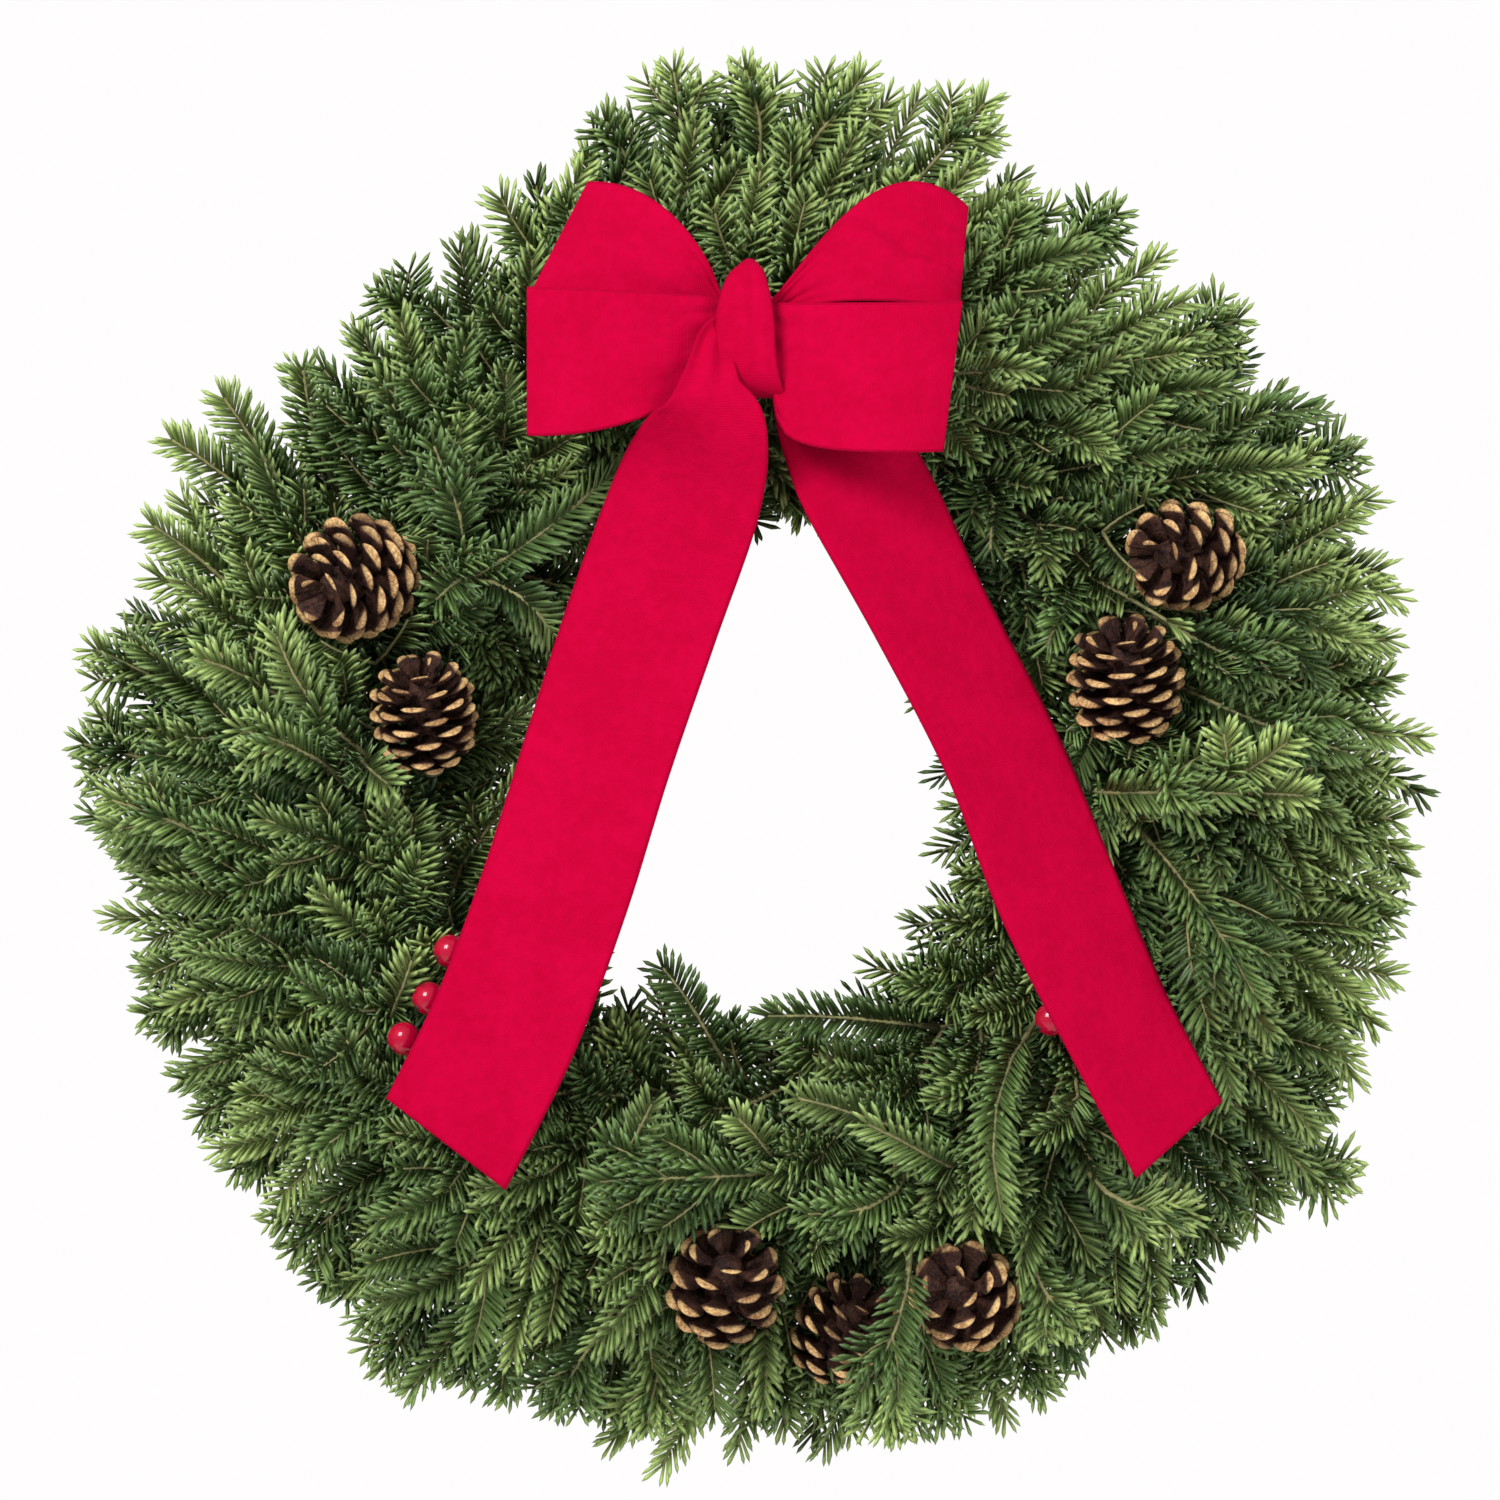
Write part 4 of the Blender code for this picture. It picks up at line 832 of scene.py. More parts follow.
def fir_bundle(number, needle_finish, bark_finish):
    """A bundle's needles, twigs and stems in one piece.

    The needles stand in four ranks along each twig, at even places with a little chance. They spread least
    at the tip, where they are shorter too, and new growth rises from a third of the way along.
    """
    draw = np.random.default_rng(500 + number)
    controls, normals, thick, bare, fresh, sparse_and_shaded, placed = bundle_twigs(number, draw)
    lengths = np.linalg.norm(np.diff(sampled(controls, 9), axis=1), axis=2).sum(axis=1)
    ranks = len(RANKS)
    clad = lengths * (1 - bare) / (NEEDLE_PITCH * sparse_and_shaded)
    counts = np.maximum(clad.astype(int), FEWEST_IN_RANK * (bare < 1)) * ranks
    row = np.repeat(np.arange(len(controls)), counts)
    order = np.arange(counts.sum()) - np.repeat(np.cumsum(counts) - counts, counts)
    rank = order % ranks
    along = (order + draw.uniform(-0.5, 0.5, len(order)) + 0.5) / counts[row]
    foot, way = on_curve(controls[row], np.clip(bare[row] + (1 - bare[row]) * along, 0, 1))
    normal = unit(normals[row] - way * (normals[row] * way).sum(1, keepdims=True))
    side = np.cross(way, normal)
    turn = RANKS[rank] + draw.normal(0, 0.13, len(row))
    out = normal * np.cos(turn)[:, None] + side * np.sin(turn)[:, None]
    spread = RANK_SPREADS[rank] * (1 - 0.55 * along**8) + draw.normal(0, 0.07, len(row))
    start = way * np.cos(spread)[:, None] + out * np.sin(spread)[:, None]
    upper = unit(np.cross(np.cross(start, normal + 0.2 * way), start))
    bend = way * 0.9 + normal * 0.6
    size = NEEDLE_LENGTH * RANK_LENGTHS[rank] * np.clip(0.78 + 1.2 * along, 0, 1) * (1 - 0.22 * along**4)
    size = size * draw.uniform(0.86, 1.10, len(row))
    width = NEEDLE_WIDTH * draw.uniform(0.85, 1.12, len(row))
    # Each spray's tone is drawn at random. Filler sprays are darkened by the square of their needle spacing,
    # as painted shade where they lie deep in the greens.
    spray_tone_and_painted_shade = draw.uniform(0, 1, len(controls)) ** 1.2 * 0.86 / sparse_and_shaded**2
    tone = draw.uniform(0, 0.18, len(row)) + spray_tone_and_painted_shade[row]
    growth = np.clip(fresh[row] * 1.5 * (along - 0.30) + 0.35 * (fresh[row] - 0.5), 0, 1)
    points, corners = needle_shapes(foot, start, bend, upper, size, width)
    tips = points[:, 5]
    kept = ~(in_cone(tips, 0.0) | before_cone(tips, 0.0) & (placed[row] == 0))
    points = points[kept].reshape(-1, 3)
    triangles = (np.arange(kept.sum())[:, None, None] * 6 + corners).reshape(-1, 3)
    under = np.tile(np.array([0, 0, 0, 0, 1, 0.3]), kept.sum())
    values = {"tone": np.repeat(tone[kept], 6), "growth": np.repeat(growth[kept], 6), "underside": under}
    wood = pipes(sampled(controls, 5), thick[:, None] * np.linspace(1.0, 0.55, 5), 4, normals[:, None])
    obj = put_piece(
        f"fir_sprays_{number + 1:02d}",
        [
            (points, triangles, 0, values),
            (*wood, 1, {}),
            cut_stems(number, draw),
        ],
        [needle_finish, bark_finish],
    )
    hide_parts(f"fir_bundle_{number + 1:02d}")


def needle_finish():
    """Waxy needles: dark to mid green by spray, with painted shade darkening the deep filler sprays,
    yellow-green where new, and greyer below.
    """
    made = bpy.data.materials.new("fir_needle")
    made.use_nodes = True
    tree = made.node_tree
    shader = tree.nodes["Principled BSDF"]
    shader.inputs["Roughness"].default_value = 0.42
    shader.inputs["Specular IOR Level"].default_value = 0.45
    base = node_mix(tree, node_value(tree, "tone"), (0.024, 0.056, 0.013), (0.175, 0.285, 0.080))
    fresh = node_mix(tree, node_value(tree, "growth"), base, (0.410, 0.540, 0.165))
    under = node_mix(tree, node_value(tree, "underside"), fresh, (0.200, 0.290, 0.180))
    tree.links.new(under, shader.inputs["Base Color"])
    return made


def bark_finish():
    """Tan to olive bark, with pale wood at the cut ends."""
    made = finish("fir_bark", (0.092, 0.094, 0.034), (0.235, 0.218, 0.085), 60, 0.8, 0.0003)
    tree = made.node_tree
    shader = tree.nodes["Principled BSDF"]
    bark = shader.inputs["Base Color"].links[0].from_socket
    cut = node_mix(tree, node_value(tree, "growth"), bark, (0.620, 0.500, 0.300))
    tree.links.new(cut, shader.inputs["Base Color"])
    return made


needle_green = needle_finish()
twig_brown = bark_finish()
for number in range(BUNDLES):
    fir_bundle(number, needle_green, twig_brown)


# Pine cones.
# Dry open cones: woody scales in spirals round a spindle, each a rounded blade that is dark on its face
# and ends in a thick tan lip, cut at a slant. A stub of stalk at the base takes the wire.
GOLDEN_TURN = math.pi * (3 - math.sqrt(5))
CORE_SHARE = 0.34
STUB_RADIUS = 0.0022
STUB_LENGTH = 0.0050
SCALE_HALF_WIDTH = 0.0068
SCALE_THICK = 0.0017
SCALE_RAISED = 0.0006
# A scale's section by share of its length: half width, half thickness, how far it lies above the blade's
# line, and how pale it is in its middle and at its side edges.
SCALE_PROFILE = (
    (0.00, 0.30, 0.55, 0.00, 0.00, 0.00), (0.50, 0.66, 0.50, 0.00, 0.00, 0.00),
    (0.74, 1.00, 0.80, 0.00, 0.00, 0.44), (0.86, 1.02, 1.05, 0.10, 0.00, 0.62),
    (0.93, 0.86, 0.90, -0.20, 0.75, 0.95), (0.99, 0.58, 0.55, -0.60, 1.00, 1.00),
    (1.01, 0.20, 0.25, -0.80, 1.00, 1.00),
)


def cone_frame(cone):
    """Middle of a cone, the way to its tip, and two ways square to that and to each other."""
    middle = spot(cone[0], math.radians(cone[1]), cone[2])
    right, front, up = cone[5]
    tip = unit(np.array([right, -front, up]))
    side = unit(np.cross(tip, FORWARD))
    return middle, tip, side, np.cross(tip, side)


def cone_scales(cone, draw):
    """The scales: on a spindle of equal areas, each a golden turn on from the last one.

    A scale runs from the core to its lip and sags a little between them. Its section is lens-shaped, with
    the side edges a little raised.
    """
    middle, tip, side, other = cone_frame(cone)
    width, length, count = cone[3], cone[4], cone[6]
    share = (np.arange(count) + 0.5) / count
    height = 0.996 - 1.90 * share
    slim = np.sqrt(1 - height**2)
    turn = np.arange(count) * GOLDEN_TURN + draw.normal(0, 0.06, count)
    out = np.cos(turn)[:, None] * side + np.sin(turn)[:, None] * other
    across = np.cross(tip, out)
    lip = out * (width / 2 * np.minimum(slim**0.75, 1.25 * slim))[:, None]
    lip = lip + tip * (height * length / 2)[:, None]
    root = out * (CORE_SHARE * 0.8 * width / 2 * slim**0.6)[:, None]
    root = root + tip * (0.72 * height * length / 2 - 0.09 * length * slim)[:, None]
    lip = lip + (lip - root) * draw.normal(-0.02, 0.03, (count, 1))
    steps, wide, thick, above, pale, pale_edge = np.array(SCALE_PROFILE).T
    centres = root[:, None] + (lip - root)[:, None] * steps[:, None]
    centres = centres - tip * (0.10 * length * steps * (1 - steps))[:, None]
    ways = unit(np.gradient(centres, axis=1))
    rise = unit(np.cross(ways, across[:, None]))
    rise = rise * np.sign((rise * tip).sum(-1, keepdims=True))
    size = (0.46 + 0.54 * slim) * width / 0.052
    centres = centres + rise * above[:, None] * SCALE_THICK * size[:, None, None]
    turns = np.arange(8) * math.tau / 8
    flat = np.sign(np.cos(turns)) * np.abs(np.cos(turns)) ** 0.85 * SCALE_HALF_WIDTH
    high = np.sin(turns) * SCALE_THICK
    raised = np.cos(turns) ** 2 * SCALE_RAISED
    aside = flat * wide[:, None] * size[:, None, None]
    over = (high * thick[:, None] + raised * wide[:, None]) * size[:, None, None]
    rings = (
        middle + centres[:, :, None]
        + across[:, None, None] * aside[..., None]
        + rise[:, :, None] * over[..., None]
    )
    handed = np.sign((np.cross(across[:, None], rise) * ways).sum(-1)).mean()
    rings = rings if handed > 0 else rings[:, :, ::-1]
    points, triangles = skins(rings)
    lips = pale[:, None] + (pale_edge - pale)[:, None] * np.cos(turns) ** 2
    lips = lips * np.clip(0.80 + 0.75 * np.sin(turns), 0, 1)
    lips = np.concatenate([lips.ravel(), [0.0, 1.0]])
    return points, triangles, 0, {"lip": (lips * draw.uniform(0.55, 1.05, (count, 1))).ravel()}


def cone_core(cone):
    """The spindle under the scales, and the stub of stalk below it."""
    middle, tip, side, other = cone_frame(cone)
    width, length = cone[3], cone[4]
    heights = np.array([-0.5 - STUB_LENGTH / length, -0.48, -0.42, -0.3, -0.1, 0.05, 0.18, 0.26, 0.30])
    slim = np.sqrt(np.maximum(1 - (np.where(heights < 0, heights / 0.47, heights / 0.31)) ** 2, 0))
    radii = np.maximum(CORE_SHARE * width / 2 * slim**0.6, 0.001)
    radii[:3] = STUB_RADIUS, STUB_RADIUS, max(STUB_RADIUS, radii[2])
    path = middle + tip * (heights * length)[:, None]
    points, triangles = pipes(path[None], radii[None], 12, side)
    return points, triangles, 0, {}


def node_math(tree, operation, first, second=0.0):
    """A maths node between sockets or numbers."""
    node = tree.nodes.new("ShaderNodeMath")
    node.operation = operation
    for value, place in ((first, 0), (second, 1)):
        if isinstance(value, float):
            node.inputs[place].default_value = value
        else:
            tree.links.new(value, node.inputs[place])
    return node.outputs["Value"]


def cone_finish():
    """Dark purple-brown wood, and tan lips with a crisp border."""
    made = finish(
        "cone_scale", (0.010, 0.004, 0.004), (0.070, 0.028, 0.018), 180, 0.65, 0.0004, specular=0.16
    )
    tree = made.node_tree
    shader = tree.nodes["Principled BSDF"]
    wood = shader.inputs["Base Color"].links[0].from_socket
    tan, _ = mottled(tree, (0.260, 0.125, 0.050), (0.720, 0.470, 0.210), 170)
    lip = node_math(tree, "MULTIPLY", node_math(tree, "SUBTRACT", node_value(tree, "lip"), 0.34), 2.6)
    tree.links.new(node_mix(tree, lip, wood, tan), shader.inputs["Base Color"])
    return made


cone_brown = cone_finish()
for index, cone in enumerate(CONES):
    draw = np.random.default_rng(70 + index)
    piece = put_piece(f"open_cone_{index + 1}", [cone_scales(cone, draw), cone_core(cone)], [cone_brown])
    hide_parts(f"pine_cone_{index + 1}")


# Wires.
# Green florist's wire: a turn round each cone's stub, or a run through the back of the knot, then down
# between two bundles and round the ring wire.
WIRE_RADIUS = 0.0008
WIRE_SWAY = 0.045
BOW_WIRE_FRONT = ((0.0180, 0.1800, 0.0995), (-0.0100, 0.1800, 0.0995), (-0.0115, 0.1790, 0.0880))


def wire_to_ring(start, sway=0.0):
    """Points from a place in the greens down to the ring and two thirds of a turn round its wire.

    The points of the turn are 58 degrees apart, and as much further out as the chord between two of them
    cuts in, so that the curve through them clears the ring's wire.
    """
    radius, depth = math.hypot(start[0], start[2] - RING_UP), -start[1]
    turned = math.atan2(start[2] - RING_UP, start[0]) + swirl(radius, depth)
    boundary = round((FIRST_BUNDLE + BUNDLE_STEP / 2 - turned) / BUNDLE_STEP) % BUNDLES
    share = np.array([0.30, 0.58, 0.84])
    run = cell_place(
        boundary, 0.5 + sway, radius + (RING_RADIUS - radius) * share, depth * (1 - share) + 0.003 * share
    )
    hook = (RING_WIRE + FIT_GAP + WIRE_RADIUS) / math.cos(math.radians(29))
    turn = np.radians(70 - 58 * np.arange(5))
    outward = 1 if radius > RING_RADIUS else -1
    round_wire = RING_RADIUS + outward * hook * np.cos(turn)
    return np.concatenate([run, cell_place(boundary, 0.5 + sway, round_wire, hook * np.sin(turn))])


def cone_wire(cone, sway):
    """Points of a cone's wire: most of a turn round the stub, a leg, and the way to the ring.

    The turn's points are 70 degrees apart, and lie further out in the same way.
    """
    middle, tip, side, other = cone_frame(cone)
    base = middle - tip * (cone[4] / 2 + 0.0022)
    away = (STUB_RADIUS + FIT_GAP + WIRE_RADIUS) / math.cos(math.radians(35))
    run = wire_to_ring(base, sway)
    start = math.atan2((run[0] - base) @ other, (run[0] - base) @ side)
    turn = start + np.radians(70 * np.arange(4) - 280)
    loop = base + away * (np.cos(turn)[:, None] * side + np.sin(turn)[:, None] * other)
    leg = base - tip * 0.010 + 0.003 * (side * math.cos(start) + other * math.sin(start))
    return np.concatenate([loop, [leg], run])


def wire_body(points, slot=0):
    """A round wire along a smooth curve through points; its rings turn as little as they can."""
    path = through(points, np.linspace(0, len(points) - 1, 6 * len(points) - 5))
    ways = unit(np.gradient(path, axis=0))
    carried = [unit(np.cross(ways[0], (0.31, -0.77, 0.55)))]
    for way in ways[1:]:
        carried.append(unit(carried[-1] - way * (carried[-1] @ way)))
    reference = np.cross(np.array(carried), ways)[None]
    return (*pipes(path[None], WIRE_RADIUS, 8, reference), slot, {})


wire_green = finish("lacquered_wire", (0.030, 0.060, 0.030), (0.075, 0.120, 0.060), 300, 0.35, 0.00003)
for index, cone in enumerate(CONES):
    body = wire_body(cone_wire(cone, WIRE_SWAY * (-1) ** index))
    piece = put_piece(f"tie_wire_{index + 1}", [body], [wire_green])
    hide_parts(f"cone_wire_{index + 1}")
front = from_ring(BOW_WIRE_FRONT)
body = wire_body(np.concatenate([front, wire_to_ring(front[-1])]))
piece = put_piece("tie_wire_bow", [body], [wire_green])
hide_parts("bow_wire")


# Berry picks.
# Glossy red berries of lacquered plastic, each on a short wire. The wires meet in one stem, which hooks
# round the ring, and each berry ends in a small dark calyx.
BERRY_RADIUS = 0.0070
# The way that the calyxes hang, down and to the left.
BERRY_DROOP = np.array([-0.75, 0.0, -0.60])
# The place of each berry (right, up, depth), and where the wires meet.
PICKS = (
    (
        "berry_pick_left",
        ((-0.1206, -0.0830, 0.0905), (-0.1294, -0.1026, 0.0920), (-0.1397, -0.1193, 0.0910),
         (-0.1170, -0.1010, 0.0880)),
        (-0.1240, -0.1000, 0.0660),
    ),
    (
        "berry_pick_right",
        ((0.1300, -0.1115, 0.0850), (0.1450, -0.1010, 0.0790), (0.1465, -0.1210, 0.0780)),
        (0.1450, -0.1090, 0.0580),
    ),
)


def berry(middle, way):
    """A berry about the way it faces: a ball with a dimple at the free end and a pinch at the wire.

    The radius is less by 7% at the dimple and by 3% at the pinch, each falling off as a bell.
    """
    polar = np.radians(np.linspace(177, 3, 20))
    dimple = 0.07 * np.exp(-((polar / 0.30) ** 2))
    pinch = 0.03 * np.exp(-(((math.pi - polar) / 0.4) ** 2))
    radius = BERRY_RADIUS * (1 - dimple - pinch)
    path = middle + way * (radius * np.cos(polar))[:, None]
    side = unit(np.cross(way, (0.31, 0.77, 0.55)))
    body = pipes(path[None], (radius * np.sin(polar))[None], 24, side)
    heights = np.array([0.86, 0.93, 0.99, 1.00])
    wide = np.array([0.0006, 0.0012, 0.0009, 0.0003])
    tip = pipes((middle + way * (heights * BERRY_RADIUS)[:, None])[None], wide[None], 8, side)
    return [(*body, 0, {}), (*tip, 1, {})]


def berry_finish():
    """Clear lacquer over a slightly cloudy red."""
    made = finish(
        "berry_lacquer", (0.380, 0.001, 0.024), (0.500, 0.001, 0.034), 90, 0.20, 0.00001, specular=0.2
    )
    shader = made.node_tree.nodes["Principled BSDF"]
    shader.inputs["Coat Weight"].default_value = 0.35
    shader.inputs["Coat Roughness"].default_value = 0.05
    shader.inputs["Subsurface Weight"].default_value = 0.25
    shader.inputs["Subsurface Scale"].default_value = 0.002
    shader.inputs["Subsurface Radius"].default_value = (1.0, 0.08, 0.12)
    return made


berry_red = berry_finish()
calyx_brown = finish("berry_calyx", (0.020, 0.012, 0.008), (0.060, 0.035, 0.020), 400, 0.7, 0.0002)
for name, places, meet in PICKS:
    meet = from_ring(meet)
    run = wire_to_ring(meet)
    bodies = [wire_body(np.concatenate([[meet], run]), 2)]
    for place in places:
        middle = from_ring(place)
        away = unit(middle - meet)
        faces = unit(0.5 * away + BERRY_DROOP)
        bodies += berry(middle, faces)
        leg = np.array([
            meet + (run[0] - meet) * 0.1,
            meet + away * 0.006,
            middle - away * 0.009 - faces * 0.004,
            middle - faces * 0.0045,
        ])
        bodies.append(wire_body(leg, 2))
    piece = put_piece(name.replace("pick", "stems"), bodies, [berry_red, calyx_brown, wire_green])
    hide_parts(name)


# Bow.
# Red velvet ribbon with a woven backing and bound edges: two bands, each a flattened loop to either side
# pinched in the middle, a short band tied round the pinch, and two tails that hang from inside it.
BOW_X = 0.0040
BAND_START = 0.08
BAND_BULGE = 0.0050
BAND_WAIST = 0.0022
# Each band: its depth at the pinch and at the far folds, how strongly it is gathered, how far its upper
# edge leans back, then its left and its right loop. A loop has a lower and an upper edge, then how much
# higher its back lies, and how far its front stands out below its crease. An edge has its height at the
# pinch, its far corner (right, up), how soon it runs out to there (small is soon), how far its curve swells
# (0.5 ends level, more turns down again), and how far out it leaves the pinch's height.
BOW_BANDS = (
    (
        "bow_band_upper", (0.1070, 0.0975), 1.0, 0.014,
        (
            (0.1760, (-0.0880, 0.1870), 0.90, 0.30, 0.08),
            (0.1875, (-0.0629, 0.2374), 0.70, 0.50, 0.17), 0.000, 0.0,
        ),
        (
            (0.1760, (0.0905, 0.1858), 0.45, 0.62, 0.08),
            (0.1875, (0.0948, 0.2300), 1.00, 0.68, 0.11), -0.006, 0.006,
        ),
    ),
    (
        "bow_band_lower", (0.1146, 0.1181), 0.55, 0.0,
        (
            (0.1610, (-0.0873, 0.1300), 0.80, 0.52, 0.08),
            (0.1875, (-0.0873, 0.1915), 1.00, 0.30, 0.08), 0.001, 0.0,
        ),
        (
            (0.1580, (0.0836, 0.1226), 0.22, 0.50, 0.13),
            (0.1855, (0.0915, 0.1846), 0.80, 0.20, 0.08), 0.003, 0.0,
        ),
    ),
)
# The crease of a loop's front, a bent line: shares of the way out from the pinch, and its height there as
# a share of the width. Below it the cloth steps forward, over a twentieth of the width.
CREASE = ((0.43, 0.72, 1.00), (0.95, 0.42, 0.36))
CREASE_STEP = 0.58
CREASE_RUN = 0.05
GATHER_DEEP = 0.0026
FOLD_DEEP = 0.0015
KNOT_MIDDLE = 0.1752
KNOT_HALF_HEIGHT = 0.0283
KNOT_DEPTH = 0.1111
KNOT_HALF_DEPTH = 0.0136
KNOT_WIDTH = 0.0240


def put_ribbon(name, rows, velvet, closed, node):
    """A ribbon from rows of points: a grid of squares, made as thick as the cloth.

    Its UV map has the share across the ribbon and the length along it, in ribbon widths.
    """
    steps, wide = rows.shape[:2]
    mesh = bpy.data.meshes.new(name)
    mesh.vertices.add(steps * wide)
    mesh.vertices.foreach_set("co", rows.astype(np.float32).ravel())
    k, s = np.meshgrid(np.arange(steps if closed else steps - 1), np.arange(wide - 1), indexing="ij")
    next_row = (k + 1) % steps
    corners = np.stack([k * wide + s, k * wide + s + 1, next_row * wide + s + 1, next_row * wide + s], -1)
    mesh.loops.add(corners.size)
    mesh.loops.foreach_set("vertex_index", corners.astype(np.int32).ravel())
    mesh.polygons.add(corners.size // 4)
    mesh.polygons.foreach_set("loop_start", np.arange(corners.size // 4, dtype=np.int32) * 4)
    mesh.polygons.foreach_set("use_smooth", np.ones(corners.size // 4, bool))
    middle = rows[:, wide // 2]
    path = np.concatenate([middle, middle[:1]]) if closed else middle
    lengths = np.concatenate([[0], np.cumsum(np.linalg.norm(np.diff(path, axis=0), axis=1))])
    across, along = np.stack([s, s + 1, s + 1, s], -1) / (wide - 1), np.stack([k, k, k + 1, k + 1], -1)
    places = np.stack([across, lengths[np.minimum(along, len(lengths) - 1)] / RIBBON_WIDTH], -1)
    mesh.uv_layers.new(name="cloth").data.foreach_set("uv", places.astype(np.float32).ravel())
    mesh.update(calc_edges=True)
    mesh.materials.append(velvet)
    obj = bpy.data.objects.new(name, mesh)
    bpy.context.scene.collection.objects.link(obj)
    thick = obj.modifiers.new("cloth", "SOLIDIFY")
    thick.thickness = RIBBON_THICK
    thick.offset = 0.0
    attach(obj, "root")
    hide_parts(node)


def loop_edge(edge, out):
    """An edge's place across and up: from the pinch to its corner, as the sine of a swelling share."""
    start, (far, up), soon, swell, leaves = edge
    opened = np.maximum(0.0, (out - leaves) / (1 - leaves))
    share = np.sin(math.pi * swell * opened**soon) / math.sin(math.pi * swell)
    return far, start + (up - start) * share


def band_loop(band, side):
    """One loop of a band, from the front of the pinch round the far fold to its back.

    A turn from 0 to 180 degrees runs round the loop. It reaches out with the sine of the turn, opens up
    once it has left the pinch, bulges between pinch and fold, and is gathered in uneven waves at the pinch,
    more so at the back. Below the crease its front comes forward, by the step and by the height under it.
    """
    _, depths, gathered, lean, *sides = band
    lower, upper, rise, stands_out = sides[side]
    turn = np.radians(np.linspace(0, 180, 65))[:, None]
    share = np.linspace(0, 1, 41)[None]
    out = np.abs(np.sin(turn)) ** 1.2
    opened = np.maximum(0.0, (out - BAND_START) / (1 - BAND_START))
    bulge = np.sin(2 * turn) * np.abs(np.sin(2 * turn))
    depth = depths[0] + (depths[1] - depths[0]) * np.sqrt(opened)
    depth = depth + BAND_WAIST * np.cos(turn) + BAND_BULGE * bulge
    waves = np.cos(math.tau * (4.5 * share + 0.30 * np.sin(math.tau * share)) + 0.6)
    deep = gathered * (0.90 - 0.65 * np.cos(turn))
    depth = depth + deep * GATHER_DEEP * np.exp(-((np.maximum(out - 0.08, 0) / 0.24) ** 2)) * waves
    folds = np.exp(-(((out - 0.40) / 0.26) ** 2)) * np.cos(math.tau * 2 * share + 1.2)
    depth = depth + deep * FOLD_DEEP * folds
    depth = depth - lean * opened * (share - 0.4)
    under = np.interp(out, *CREASE) - share
    front = np.clip(2.5 * np.cos(turn), 0, 1) * np.clip(3 * out - 0.4, 0, 1)
    step = CREASE_STEP * np.clip(under / CREASE_RUN, 0, 1)
    depth = depth + stands_out * (np.maximum(0.0, under) + step) * front
    (low_far, low), (high_far, high) = loop_edge(lower, out), loop_edge(upper, out)
    lift = rise * opened * (0.5 - 0.5 * np.cos(turn))
    far = low_far + (high_far - low_far) * share
    right = BOW_X + (far - BOW_X) * out
    return np.stack([right, low + (high - low) * share + lift, depth + 0 * right], -1)


def velvet_finish():
    """Short red pile: a little mottled, in fine rows across, with a soft sheen, and darker bound edges."""
    made = finish(
        "red_velvet", (0.384, 0.0003, 0.025), (0.438, 0.0004, 0.031), 45, 0.85, 0.0002, specular=0.02
    )
    tree = made.node_tree
    shader = tree.nodes["Principled BSDF"]
    shader.inputs["Sheen Weight"].default_value = 0.06
    shader.inputs["Sheen Roughness"].default_value = 0.5
    shader.inputs["Sheen Tint"].default_value = (1.0, 0.02, 0.20, 1)
    cloth = tree.nodes.new("ShaderNodeUVMap")
    cloth.uv_map = "cloth"
    ways = tree.nodes.new("ShaderNodeSeparateXYZ")
    tree.links.new(cloth.outputs["UV"], ways.inputs[0])
    aside = node_math(tree, "ABSOLUTE", node_math(tree, "SUBTRACT", ways.outputs["X"], 0.5))
    bound = node_math(tree, "GREATER_THAN", aside, 0.484)
    pile = shader.inputs["Base Color"].links[0].from_socket
    tree.links.new(node_mix(tree, bound, pile, (0.350, 0.0006, 0.024)), shader.inputs["Base Color"])
    rows = node_math(tree, "SINE", node_math(tree, "MULTIPLY", ways.outputs["Y"], 420.0))
    ribs, edges = node_math(tree, "MULTIPLY", rows, 0.12), node_math(tree, "MULTIPLY", bound, 0.3)
    height = node_math(tree, "SUBTRACT", ribs, edges)
    raised = tree.nodes.new("ShaderNodeBump")
    raised.inputs["Distance"].default_value = 0.0003
    tree.links.new(height, raised.inputs["Height"])
    tree.links.new(shader.inputs["Normal"].links[0].from_socket, raised.inputs["Normal"])
    tree.links.new(raised.outputs["Normal"], shader.inputs["Normal"])
    return made


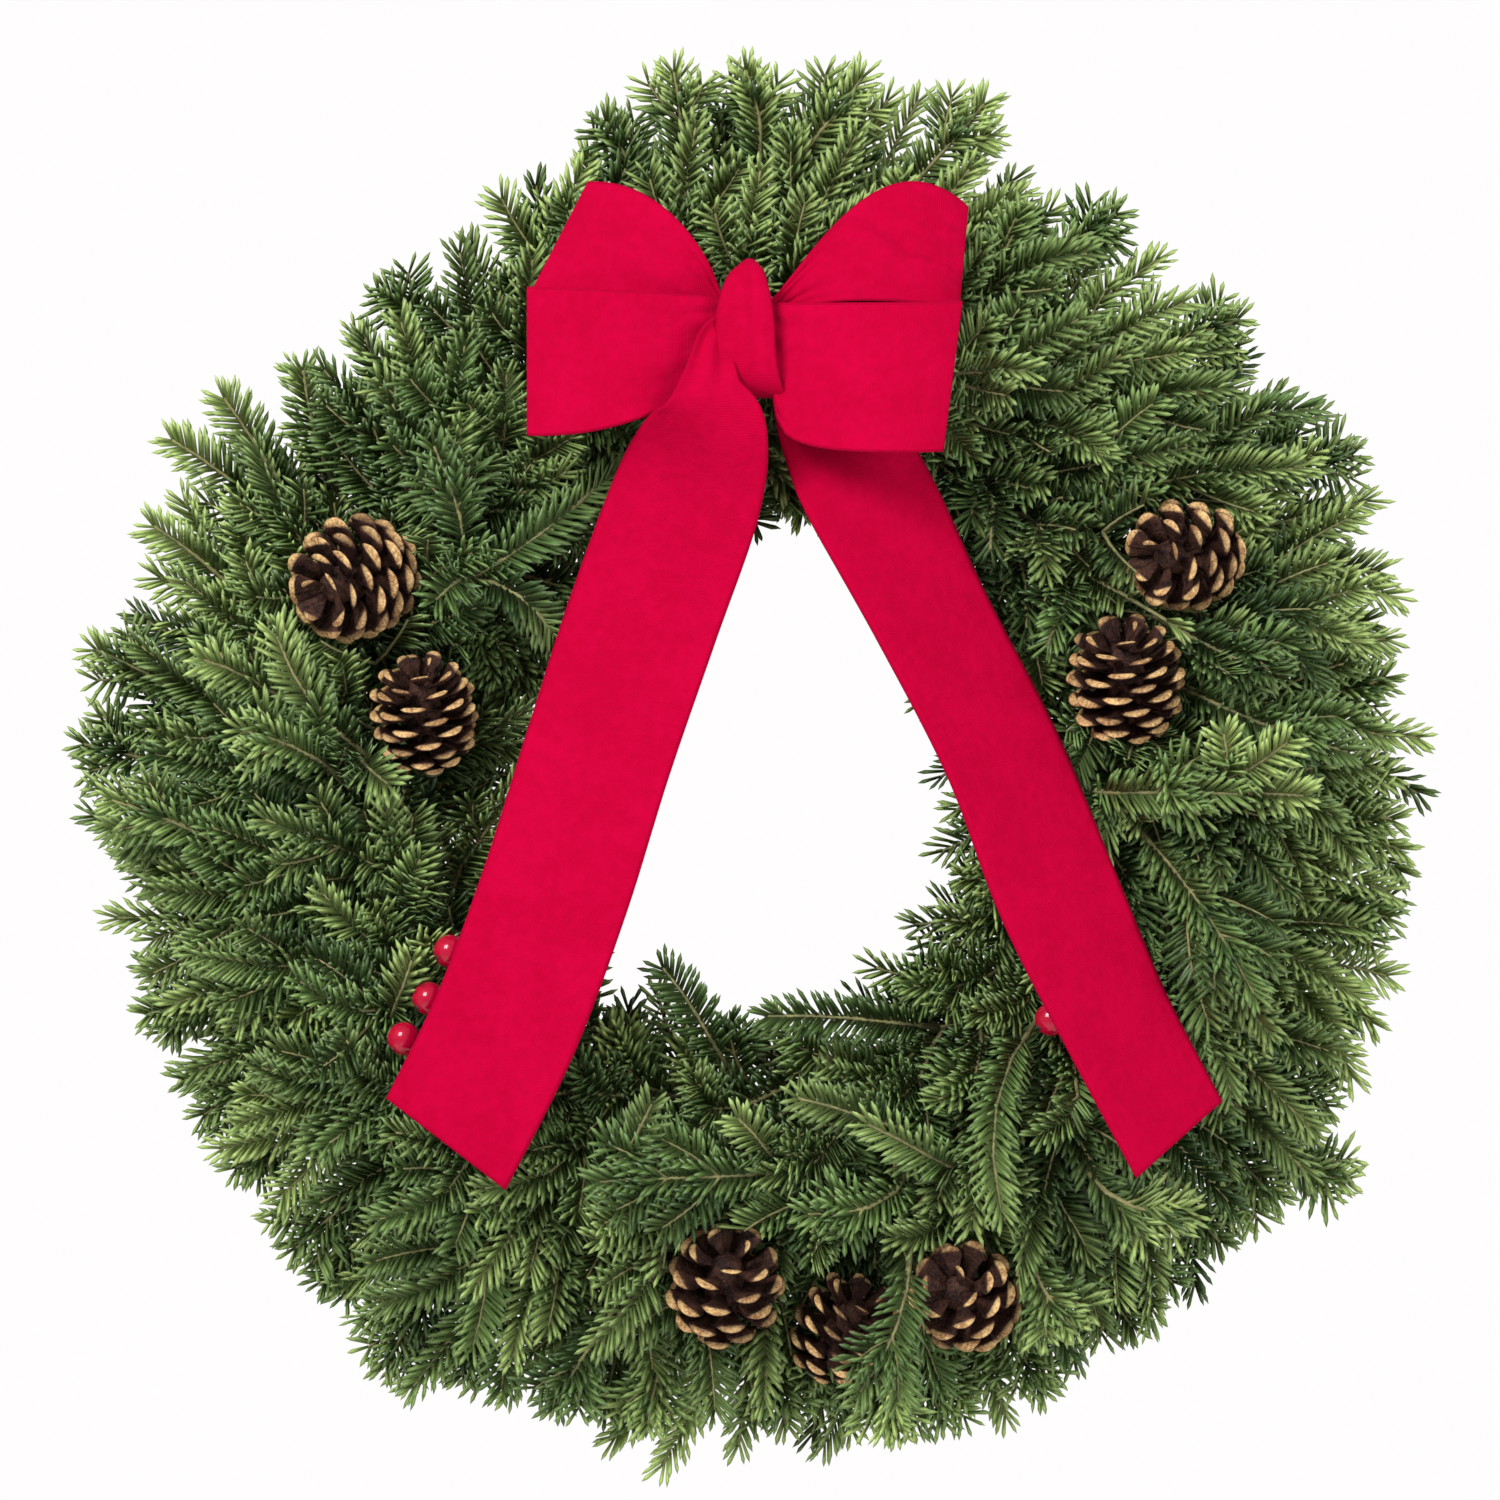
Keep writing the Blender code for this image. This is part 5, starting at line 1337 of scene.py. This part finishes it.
velvet = velvet_finish()
for band in BOW_BANDS:
    left, right = band_loop(band, 0), band_loop(band, 1)
    rows = from_ring(np.concatenate([left, right[-2:0:-1]]))
    put_ribbon(band[0].replace("band", "loops"), rows, velvet, True, band[0])


def knot_rows():
    """The band round the pinch: an upright loop that is full in front, and runs out to a rounded tongue
    at its top and to the right at its bottom, clear of the left tail.
    """
    turn = np.linspace(0, math.tau, 80, endpoint=False)[:, None]
    share = np.linspace(-1, 1, 17)[None]
    sine, cosine = np.sin(turn), np.cos(turn)
    up = KNOT_MIDDLE + KNOT_HALF_HEIGHT * np.sign(sine) * np.abs(sine) ** 0.6
    depth = KNOT_DEPTH + KNOT_HALF_DEPTH * np.sign(cosine) * np.abs(cosine) ** 0.65
    front, top = np.clip(cosine, 0, 1), np.clip(sine, 0, 1)
    depth = depth + front * (0.0018 * (1 - share**2) + 0.0003 * np.cos(math.tau * 1.5 * share + 0.5))
    up = up - 0.0045 * share**2 * top**4
    width = KNOT_WIDTH * (1.02 - 0.14 * sine - 0.47 * top)
    right = BOW_X - 0.0018 * cosine**2 + 0.0012 * np.clip(-sine, 0, 1) ** 2 + width / 2 * share
    return np.stack([right, up + 0 * right, depth + 0 * right], -1)


put_ribbon("bow_wrap", from_ring(knot_rows()), velvet, True, "bow_knot")


def bow_tail(tail):
    """A tail: its middle line carried across the ribbon's width, with folds where it leaves the knot.

    The slant of its cut end grows over the last quarter.
    """
    middles, ways, across, widths = tail_rows(tail, 121)
    along = np.linspace(0, 1, 121)[:, None, None]
    share = np.linspace(0, 1, 25)[None, :, None]
    cut = tail[4] * np.maximum(0.0, along * 4 - 3)
    half = across[:, None] * widths[:, None, None] / 2 + ways[:, None] * cut
    rows = middles[:, None] + half * (2 * share - 1)
    folds = np.clip((along - 0.07) / 0.06, 0, 1) * np.exp(-((np.maximum(along - 0.13, 0) / 0.13) ** 2))
    rows = rows + FORWARD * 0.0011 * folds * (1 + np.cos(math.tau * 2.0 * share + 0.8))
    put_ribbon(tail[0].replace("bow_", "hanging_"), rows, velvet, False, tail[0])


for tail in TAILS:
    bow_tail(tail)
